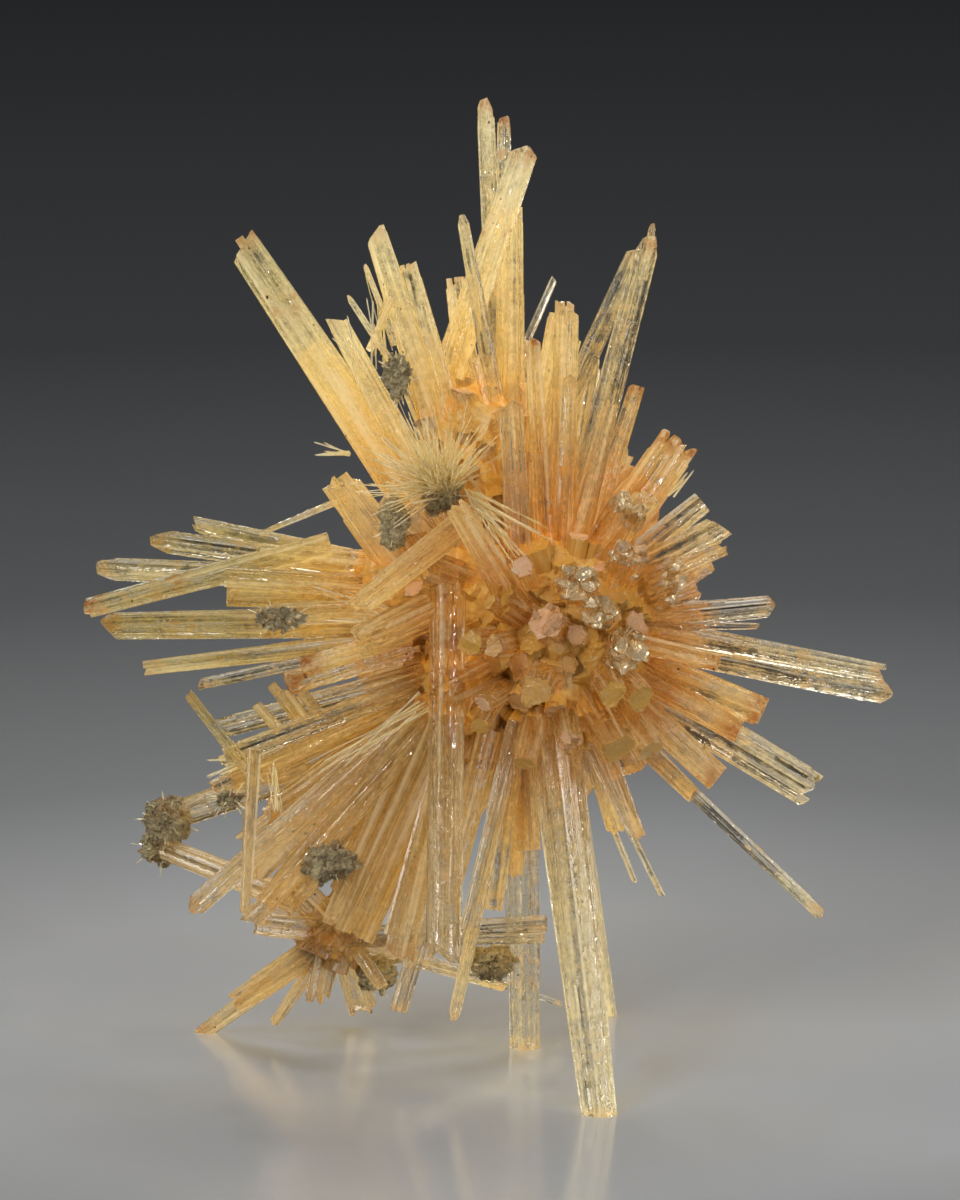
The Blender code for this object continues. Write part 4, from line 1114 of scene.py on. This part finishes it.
# Each lamp's name, place, size, power and colour.
LAMPS = (
    ("key", (-0.42, -0.50, 0.62), (0.32, 0.40), 2.8, (1.0, 0.98, 0.95)),
    ("fill", (0.45, -0.80, 0.25), (0.35, 0.50), 2.2, (1.0, 1.0, 1.0)),
    ("back", (0.22, 0.55, 0.60), (0.50, 0.30), 3.0, (1.0, 0.99, 0.96)),
    ("left_strip", (-0.70, 0.22, 0.28), (0.12, 0.60), 1.2, (1.0, 0.98, 0.94)),
    ("right_strip", (0.70, 0.12, 0.35), (0.12, 0.60), 1.1, (0.97, 0.99, 1.0)),
    ("left_spark", (-0.30, -0.62, 0.45), (0.05, 0.05), 0.7, (1.0, 1.0, 1.0)),
    ("right_spark", (0.45, -0.35, 0.55), (0.04, 0.04), 0.6, (1.0, 1.0, 1.0)),
    ("back_spark", (-0.20, 0.60, 0.40), (0.05, 0.05), 0.7, (1.0, 1.0, 1.0)),
    ("top", (0.0, 0.0, 0.85), (0.35, 0.35), 1.0, (1.0, 1.0, 1.0)),
)
LAMP_TARGET = Vector((0, 0, 0.045))
SKY_COLOUR = (0.9, 0.95, 1.0, 1)
# How far light is followed through the crystals.
LIGHT_PATHS = {
    "max_bounces": 7,
    "transmission_bounces": 6,
    "diffuse_bounces": 2,
    "glossy_bounces": 3,
    "transparent_max_bounces": 8,
    "sample_clamp_indirect": 6.0,
    "use_light_tree": False,
    "adaptive_threshold": 0.1,
}
PICTURE_MIDDLE = Vector((-7.0, 3.0, 0.0))  # that the camera looks at, as the viewer reads it
SENSOR = 36.0
SHEET_SIDES = 96


def soft_lamp(name, place, size, power, colour):
    """A soft lamp aimed at the cluster."""
    lamp = add(bpy.ops.object.light_add, name, type="AREA", location=place)
    lamp.data.shape = "RECTANGLE"
    lamp.data.size, lamp.data.size_y = size
    lamp.data.energy = power
    lamp.data.color = colour
    lamp.data.spread = math.pi
    lamp.rotation_euler = (LAMP_TARGET - lamp.location).to_track_quat("-Z", "Y").to_euler()


class ARAGONITE_OT_studio(bpy.types.Operator):
    """Lay the sheet with its painted pool of light, hang the lamps and place the camera."""

    bl_idname = "aragonite.studio"
    bl_label = "Set up the studio"

    def execute(self, context):
        studio = context.scene.aragonite_studio
        sheet = add(
            bpy.ops.mesh.primitive_circle_add, "sheet",
            vertices=SHEET_SIDES, radius=studio.sheet_radius, fill_type="NGON",
        )
        sheet.data.materials.append(sheet_material(studio))
        for lamp in LAMPS:
            soft_lamp(*lamp)
        self.set_world(context.scene, studio)
        self.place_camera(context.scene, studio)
        return {"FINISHED"}

    def set_world(self, scene, studio):
        scene.world = scene.world or bpy.data.worlds.new("studio")
        scene.world.use_nodes = True
        background = scene.world.node_tree.nodes["Background"]
        background.inputs["Color"].default_value = SKY_COLOUR
        background.inputs["Strength"].default_value = studio.sky
        scene.view_settings.view_transform = "Standard"
        for name, value in LIGHT_PATHS.items():
            setattr(scene.cycles, name, value)

    def place_camera(self, scene, studio):
        camera = add(bpy.ops.object.camera_add, "Camera")
        back = Vector((0, -math.cos(VIEW_TILT), math.sin(VIEW_TILT)))
        camera.location = stand() @ PICTURE_MIDDLE + back * studio.camera_distance
        camera.rotation_euler = (math.pi / 2 - VIEW_TILT, 0, 0)
        camera.data.sensor_width = SENSOR
        camera.data.lens = SENSOR * studio.camera_distance / studio.frame_height
        camera.data.clip_start = 0.1
        scene.camera = camera


MODELS = {}
FINISHES = {}


class ARAGONITE_OT_prepare(bpy.types.Operator):
    """Model the shafts, laths and needle that the crystals are copied from, and mix the finishes."""

    bl_idname = "aragonite.prepare"
    bl_label = "Model the shafts and mix the finishes"

    def execute(self, context):
        look = context.scene.aragonite_crystal
        MODELS["all"] = Models(look.groove)
        FINISHES["honey"] = honey_material(look)
        FINISHES["frosted"] = frosted_material(look)
        FINISHES["amber"] = amber_material(look)
        FINISHES["needle"] = needle_material(look)
        FINISHES["marl"] = marl_material(look)
        return {"FINISHED"}


def grow_spray(name, members, ridges, finishes):
    """One piece of the cluster, grown from a list of crystals. A second finish is for their ends."""
    rods = [bundle_of(crystal, MODELS["all"], ridges, len(finishes) > 1) for crystal in members]
    piece = fuse(name, rods, [FINISHES[finish] for finish in finishes])
    settle(piece, CLUSTER)


class CrystalOperator:
    """What the operators that grow a spray of prisms share: known crystals and a fan between them."""

    known = ()
    fan = ()
    ridge_share = 1.0
    finishes = ("honey",)

    def members(self):
        return [*self.known, *(spread_fan(*self.fan) if self.fan else ())]

    def execute(self, context):
        ridges = context.scene.aragonite_crystal.ridges * self.ridge_share
        grow_spray(self.piece, self.members(), ridges, self.finishes)
        return {"FINISHED"}


class ARAGONITE_OT_crown(CrystalOperator, bpy.types.Operator):
    """Grow the tall crystals that rise from the core."""

    bl_idname = "aragonite.crown"
    bl_label = "Grow the crown"
    piece = "crown_crystals"
    known = CROWN
    fan = ("crown_fill", (-3, 10, 0), 71, 122, 7, (15, 22), (2.0, 3.0), (-6, 2))


class ARAGONITE_OT_left(CrystalOperator, bpy.types.Operator):
    """Grow the level beams at the left."""

    bl_idname = "aragonite.left"
    bl_label = "Grow the left beams"
    piece = "left_beams"
    known = LEFT
    fan = ("left_fill", (-14, 3, 0), 168, 196, 4, (13, 19), (1.8, 2.6), (-4, 2))
    ridge_share = 1.1


class ARAGONITE_OT_fan(CrystalOperator, bpy.types.Operator):
    """Grow the fan of beams at the lower left."""

    bl_idname = "aragonite.fan"
    bl_label = "Grow the fan"
    piece = "fan_crystals"
    known = FAN
    fan = ("fan_fill", (-11, -6, 2), 196, 232, 7, (19, 28), (1.8, 2.6), (-4, 1))
    ridge_share = 1.1


class ARAGONITE_OT_low_spray(CrystalOperator, bpy.types.Operator):
    """Grow the small second spray near the surface."""

    bl_idname = "aragonite.low_spray"
    bl_label = "Grow the low spray"
    piece = "low_spray"
    known = LOW_SPRAY
    ridge_share = 1.2


class ARAGONITE_OT_hanging(CrystalOperator, bpy.types.Operator):
    """Grow the crystals that point down and carry the cluster."""

    bl_idname = "aragonite.hanging"
    bl_label = "Grow the hanging crystals and feet"
    piece = "hanging_crystals"
    known = HANGING
    fan = ("hanging_fill", (-3, -9, 1), 238, 282, 4, (12, 18), (1.8, 2.8), (-6, 0))
    ridge_share = 1.2


class ARAGONITE_OT_right(CrystalOperator, bpy.types.Operator):
    """Grow the beams and stubs at the right."""

    bl_idname = "aragonite.right"
    bl_label = "Grow the right beams"
    piece = "right_beams"
    known = RIGHT
    fan = ("right_fill", (5, 0, 0), -46, 44, 6, (9, 13), (2.2, 3.2), (-5, 1))


class ARAGONITE_OT_facing(CrystalOperator, bpy.types.Operator):
    """Grow the stout crystals whose frosted ends face the viewer."""

    bl_idname = "aragonite.facing"
    bl_label = "Grow the facing ends"
    piece = "facing_ends"
    known = FACING
    ridge_share = 0.8
    finishes = ("honey", "frosted")


class ARAGONITE_OT_back(CrystalOperator, bpy.types.Operator):
    """Grow the burst of crystals at the back."""

    bl_idname = "aragonite.back"
    bl_label = "Grow the back burst"
    piece = "back_crystals"
    ridge_share = 0.8

    def members(self):
        return back_burst()


class ARAGONITE_OT_small(CrystalOperator, bpy.types.Operator):
    """Grow the short thin crystals that stand on the larger ones."""

    bl_idname = "aragonite.small"
    bl_label = "Grow the small crystals"
    piece = "small_crystals"
    known = SMALL


def lumpy_ball(name, fineness, centre, radii, roughness, relief):
    """An uneven lump and its points. Its name picks its unevenness, and relief raises its skin."""
    piece = add(bpy.ops.mesh.primitive_ico_sphere_add, name, subdivisions=fineness, radius=1)
    drift = Vector([random.Random(name).uniform(0, 50)] * 3)
    points = read_points(piece.data)
    for row, point in enumerate(points):
        out = Vector(point).normalized()
        bulge = 1 + roughness * noise.noise(out * 2.3 + drift)
        place = Vector([centre[i] + out[i] * radii[i] * bulge for i in range(3)])
        points[row] = place + (place - Vector(centre)).normalized() * relief(place)
    write_points(piece.data, points)
    return piece, points


def sphere_directions(count):
    """Evenly spread directions."""
    for i in range(count):
        depth = 1 - 2 * (i + 0.5) / count
        ring = math.sqrt(1 - depth * depth)
        around = golden_turn(i)
        yield Vector((ring * math.cos(around), ring * math.sin(around), depth))


class ARAGONITE_OT_core(bpy.types.Operator):
    """Model the massive core and the short stout prisms that end at its surface."""

    bl_idname = "aragonite.core"
    bl_label = "Model the core"

    def execute(self, context):
        lumps = []
        for lump in LUMPS:
            radii = [radius * CORE_SHARE for radius in lump.radii]
            piece, _ = lumpy_ball(
                lump.name, CORE_FINENESS, lump.centre, radii, CORE_ROUGHNESS, self.facets
            )
            mark(piece.data, CORE_DEPTH, CORE_LOOK, random.Random(lump.name))
            piece.data.transform(stand())
            lumps.append(piece)
        core = fuse("growing_core", lumps, [FINISHES["amber"]])
        settle(core, CLUSTER)
        chance = random.Random("core prisms")
        grow_spray("core_prisms", self.core_prisms(chance), 0, ("amber", "frosted"))
        grow_spray("flank_prisms", self.flank_prisms(chance), 0, ("honey", "frosted"))
        return {"FINISHED"}

    @staticmethod
    def facets(place):
        drift = Vector((3.1, 7.7, 1.9))
        return noise.cell(place * 0.55 + drift) * 0.5 + noise.cell(place * 1.3) * 0.25

    def core_prisms(self, chance):
        prisms = []
        middle = Vector(LUMPS[0].centre)
        for i, out in enumerate(sphere_directions(CORE_PRISMS)):
            reach = to_surface(LUMPS[0].radii, out)
            tip = middle + reach + out * chance.uniform(-0.5, 1.1)
            width = chance.uniform(2.4, 4.4)
            end = chance.choice(("flat", "flat", "flat", "slant"))
            measures = (middle + reach * 0.3, tip, width * 0.55, width, 0.85, end)
            prisms.append(Crystal(f"core_prism_{i}", *measures))
        return prisms

    def flank_prisms(self, chance):
        prisms = []
        main = Vector(LUMPS[0].centre)
        for lump in LUMPS[1:]:
            middle = Vector(lump.centre)
            for i, side in enumerate(sphere_directions(FLANK_PRISMS)):
                surface = middle + to_surface(lump.radii, side, CORE_SHARE)
                out = ((surface - main).normalized() + side * 0.45).normalized()
                width = chance.uniform(1.5, 3.0)
                tip = surface + out * chance.uniform(0.6, 2.6)
                end = chance.choice(("flat", "slant", "slant", "roof"))
                measures = (surface - out * 4.5, tip, width * 1.1, width, 0.75, end)
                prisms.append(Crystal(f"{lump.name}_prism_{i}", *measures))
        return prisms


# Loose bundles of needles: root, tip, count, and how far the roots and the tips are spread.
STRAY_BUNDLES = (
    ((-16.8, 27.0, 0.8), (-17.6, 34.2, 1.6), 12, 2.2, 3.6),
    ((-18.6, 25.0, 0.8), (-21.0, 31.0, 2.4), 10, 2.0, 3.0),
    ((-20.2, 17.6, 1.0), (-23.4, 18.2, 1.5), 5, 0.7, 1.6),
    ((12.0, 13.6, 0.5), (14.4, 15.8, 1.0), 5, 0.7, 1.2),
    ((-27.8, -13.6, 4.6), (-27.0, -19.0, 7.6), 7, 1.2, 3.0),
    ((-29.5, -12.8, 2.0), (-34.2, -14.2, 2.4), 10, 1.2, 2.4),
    ((-12.5, -7.0, 6.0), (-24.0, -15.0, 8.0), 9, 2.0, 4.0),
    ((-15.0, 1.0, 5.0), (-24.0, 3.0, 6.5), 8, 1.2, 4.0),
)


class ARAGONITE_OT_needles(bpy.types.Operator):
    """Grow the tuft of fine needles at the upper left and the stray needles elsewhere."""

    bl_idname = "aragonite.needles"
    bl_label = "Grow the fine needles"

    def execute(self, context):
        look = context.scene.aragonite_crystal
        self.grow("needle_tuft", self.tuft(look.tuft_needles))
        self.grow("needle_sheaf", self.sheaf())
        self.grow("stray_needles", self.strays())
        return {"FINISHED"}

    def grow(self, name, needles):
        chance = random.Random(name)
        rods = []
        for needle in needles:
            look = Look(NEEDLE_CLARITY, 0.0, chance.uniform(-1, 1))
            rods.append(needle_rod(needle, MODELS["all"], look, chance))
        settle(fuse(name, rods, [FINISHES["needle"]]), CLUSTER)

    def tuft(self, count):
        chance = random.Random("needle tuft")
        across, up, toward = TUFT_MIDDLE
        needles = []
        for _ in range(count):
            angle = math.radians(chance.triangular(10, 225, 125))
            rise = math.radians(chance.uniform(4, 78))
            reach = chance.uniform(*TUFT_REACH)
            out = Vector((
                math.cos(angle) * math.cos(rise), math.sin(angle) * math.cos(rise), math.sin(rise)
            ))
            root = Vector((
                across + chance.uniform(-0.9, 0.9), up + chance.uniform(-0.9, 0.7), toward
            ))
            tip = root + out * reach * (1 - 0.28 * math.sin(rise))
            needles.append(Needle(root, tip, chance.uniform(0.07, 0.15)))
        return needles

    def sheaf(self):
        chance = random.Random("needle sheaf")
        needles = []
        for _ in range(SHEAF_NEEDLES):
            root = Vector((-7.8 + chance.uniform(-0.8, 0.8), 13.2 + chance.uniform(-1, 1), 5.4))
            angle = math.radians(chance.uniform(-74, -22))
            reach = chance.uniform(3.5, 8.6)
            rise = chance.uniform(0.15, 0.55) * reach
            tip = root + Vector((math.cos(angle) * reach, math.sin(angle) * reach, rise))
            needles.append(Needle(root, tip, chance.uniform(0.09, 0.18)))
        return needles

    def strays(self):
        chance = random.Random("stray needles")
        needles = []
        for root, tip, count, spread, scatter in STRAY_BUNDLES:
            for _ in range(count):
                start = Vector(root) + Vector(three(chance, -0.5, 0.5, spread))
                finish = Vector(tip) + Vector(three(chance, -0.5, 0.5, scatter))
                start.z = root[2] + chance.uniform(-0.3, 0.3)
                finish.z = tip[2] + chance.uniform(-0.5, 0.8)
                end = start.lerp(finish, chance.uniform(0.6, 1.0))
                needles.append(Needle(start, end, chance.uniform(0.09, 0.24)))
        for crumb in CRUMBS:
            for out in sphere_directions(CRUMB_NEEDLES):
                out = (out + Vector(three(chance, -0.5, 0.5))).normalized()
                start = Vector(crumb.centre) + to_surface(crumb.radii, out, 0.8)
                end = start + out * chance.uniform(0.5, 1.5)
                needles.append(Needle(start, end, chance.uniform(0.08, 0.18)))
        return needles


class ARAGONITE_OT_crumbs(bpy.types.Operator):
    """Dress each crumb of matrix with its crust and grains."""

    bl_idname = "aragonite.crumbs"
    bl_label = "Dress the crumbs of matrix"

    def execute(self, context):
        for crumb in CRUMBS:
            self.dress(crumb)
        return {"FINISHED"}

    def dress(self, crumb):
        chance = random.Random(f"crust of {crumb.name}")
        drift = Vector(three(chance, 0, 50))

        def crust_relief(place):
            rise = 0.46 * noise.fractal(place * 0.9 + drift, 0.8, 2.1, 6)
            rise += 0.30 * abs(noise.noise(place * 2.6 + drift))
            rise += 0.28 * noise.cell(place * 1.5 + drift)
            return rise - 0.2

        radii = [radius - CRUMB_GAP for radius in crumb.radii]
        piece, points = lumpy_ball(
            crumb.name, CRUST_FINENESS, crumb.centre, radii, crumb.roughness, crust_relief
        )
        grains = [piece]
        for _ in range(CRUMB_GRAINS):
            spot = Vector(points[chance.randrange(len(points))])
            grain = add(bpy.ops.mesh.primitive_ico_sphere_add, "grain", subdivisions=1, radius=1)
            size = chance.uniform(*GRAIN_SIZE)
            tilt = Vector((chance.uniform(-1, 1), chance.uniform(-1, 1), 1)).to_track_quat("Z", "Y")
            scale = Vector([size * chance.uniform(0.6, 1.3) for _ in range(3)])
            grain.data.transform(Matrix.LocRotScale(spot, tilt, scale))
            grains.append(grain)
        for part in grains:
            part.data.transform(stand())
        crust = fuse(f"{crumb.name}_crust", grains, [FINISHES["marl"]])
        settle(crust, crumb.name)


class ARAGONITE_OT_clear_models(bpy.types.Operator):
    """Remove the shafts, laths and needle that the crystals were copied from."""

    bl_idname = "aragonite.clear_models"
    bl_label = "Remove the models"

    def execute(self, context):
        MODELS.pop("all").clear()
        return {"FINISHED"}


class ARAGONITE_PT_panel(bpy.types.Panel):
    """The steps of the cluster, in order, and what can be changed."""

    bl_idname = "ARAGONITE_PT_panel"
    bl_label = "Aragonite"
    bl_space_type = "VIEW_3D"
    bl_region_type = "UI"
    bl_category = "Aragonite"

    def draw(self, context):
        for settings in (context.scene.aragonite_crystal, context.scene.aragonite_studio):
            box = self.layout.box()
            for name in settings.__annotations__:
                box.prop(settings, name)
        for step in STEPS:
            self.layout.operator(step.bl_idname)


STEPS = (
    ARAGONITE_OT_studio,
    ARAGONITE_OT_prepare,
    ARAGONITE_OT_core,
    ARAGONITE_OT_crown,
    ARAGONITE_OT_left,
    ARAGONITE_OT_fan,
    ARAGONITE_OT_low_spray,
    ARAGONITE_OT_hanging,
    ARAGONITE_OT_right,
    ARAGONITE_OT_facing,
    ARAGONITE_OT_back,
    ARAGONITE_OT_small,
    ARAGONITE_OT_needles,
    ARAGONITE_OT_crumbs,
    ARAGONITE_OT_clear_models,
)
CLASSES = (CrystalLook, StudioLook, *STEPS, ARAGONITE_PT_panel)


def register():
    for kind in CLASSES:
        bpy.utils.register_class(kind)
    bpy.types.Scene.aragonite_crystal = PointerProperty(type=CrystalLook)
    bpy.types.Scene.aragonite_studio = PointerProperty(type=StudioLook)


def unregister():
    del bpy.types.Scene.aragonite_studio
    del bpy.types.Scene.aragonite_crystal
    for kind in reversed(CLASSES):
        bpy.utils.unregister_class(kind)


def main():
    register()
    for step in STEPS:
        group, name = step.bl_idname.split(".")
        getattr(getattr(bpy.ops, group), name)()
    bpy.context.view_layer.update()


if __name__ == "__main__":
    main()
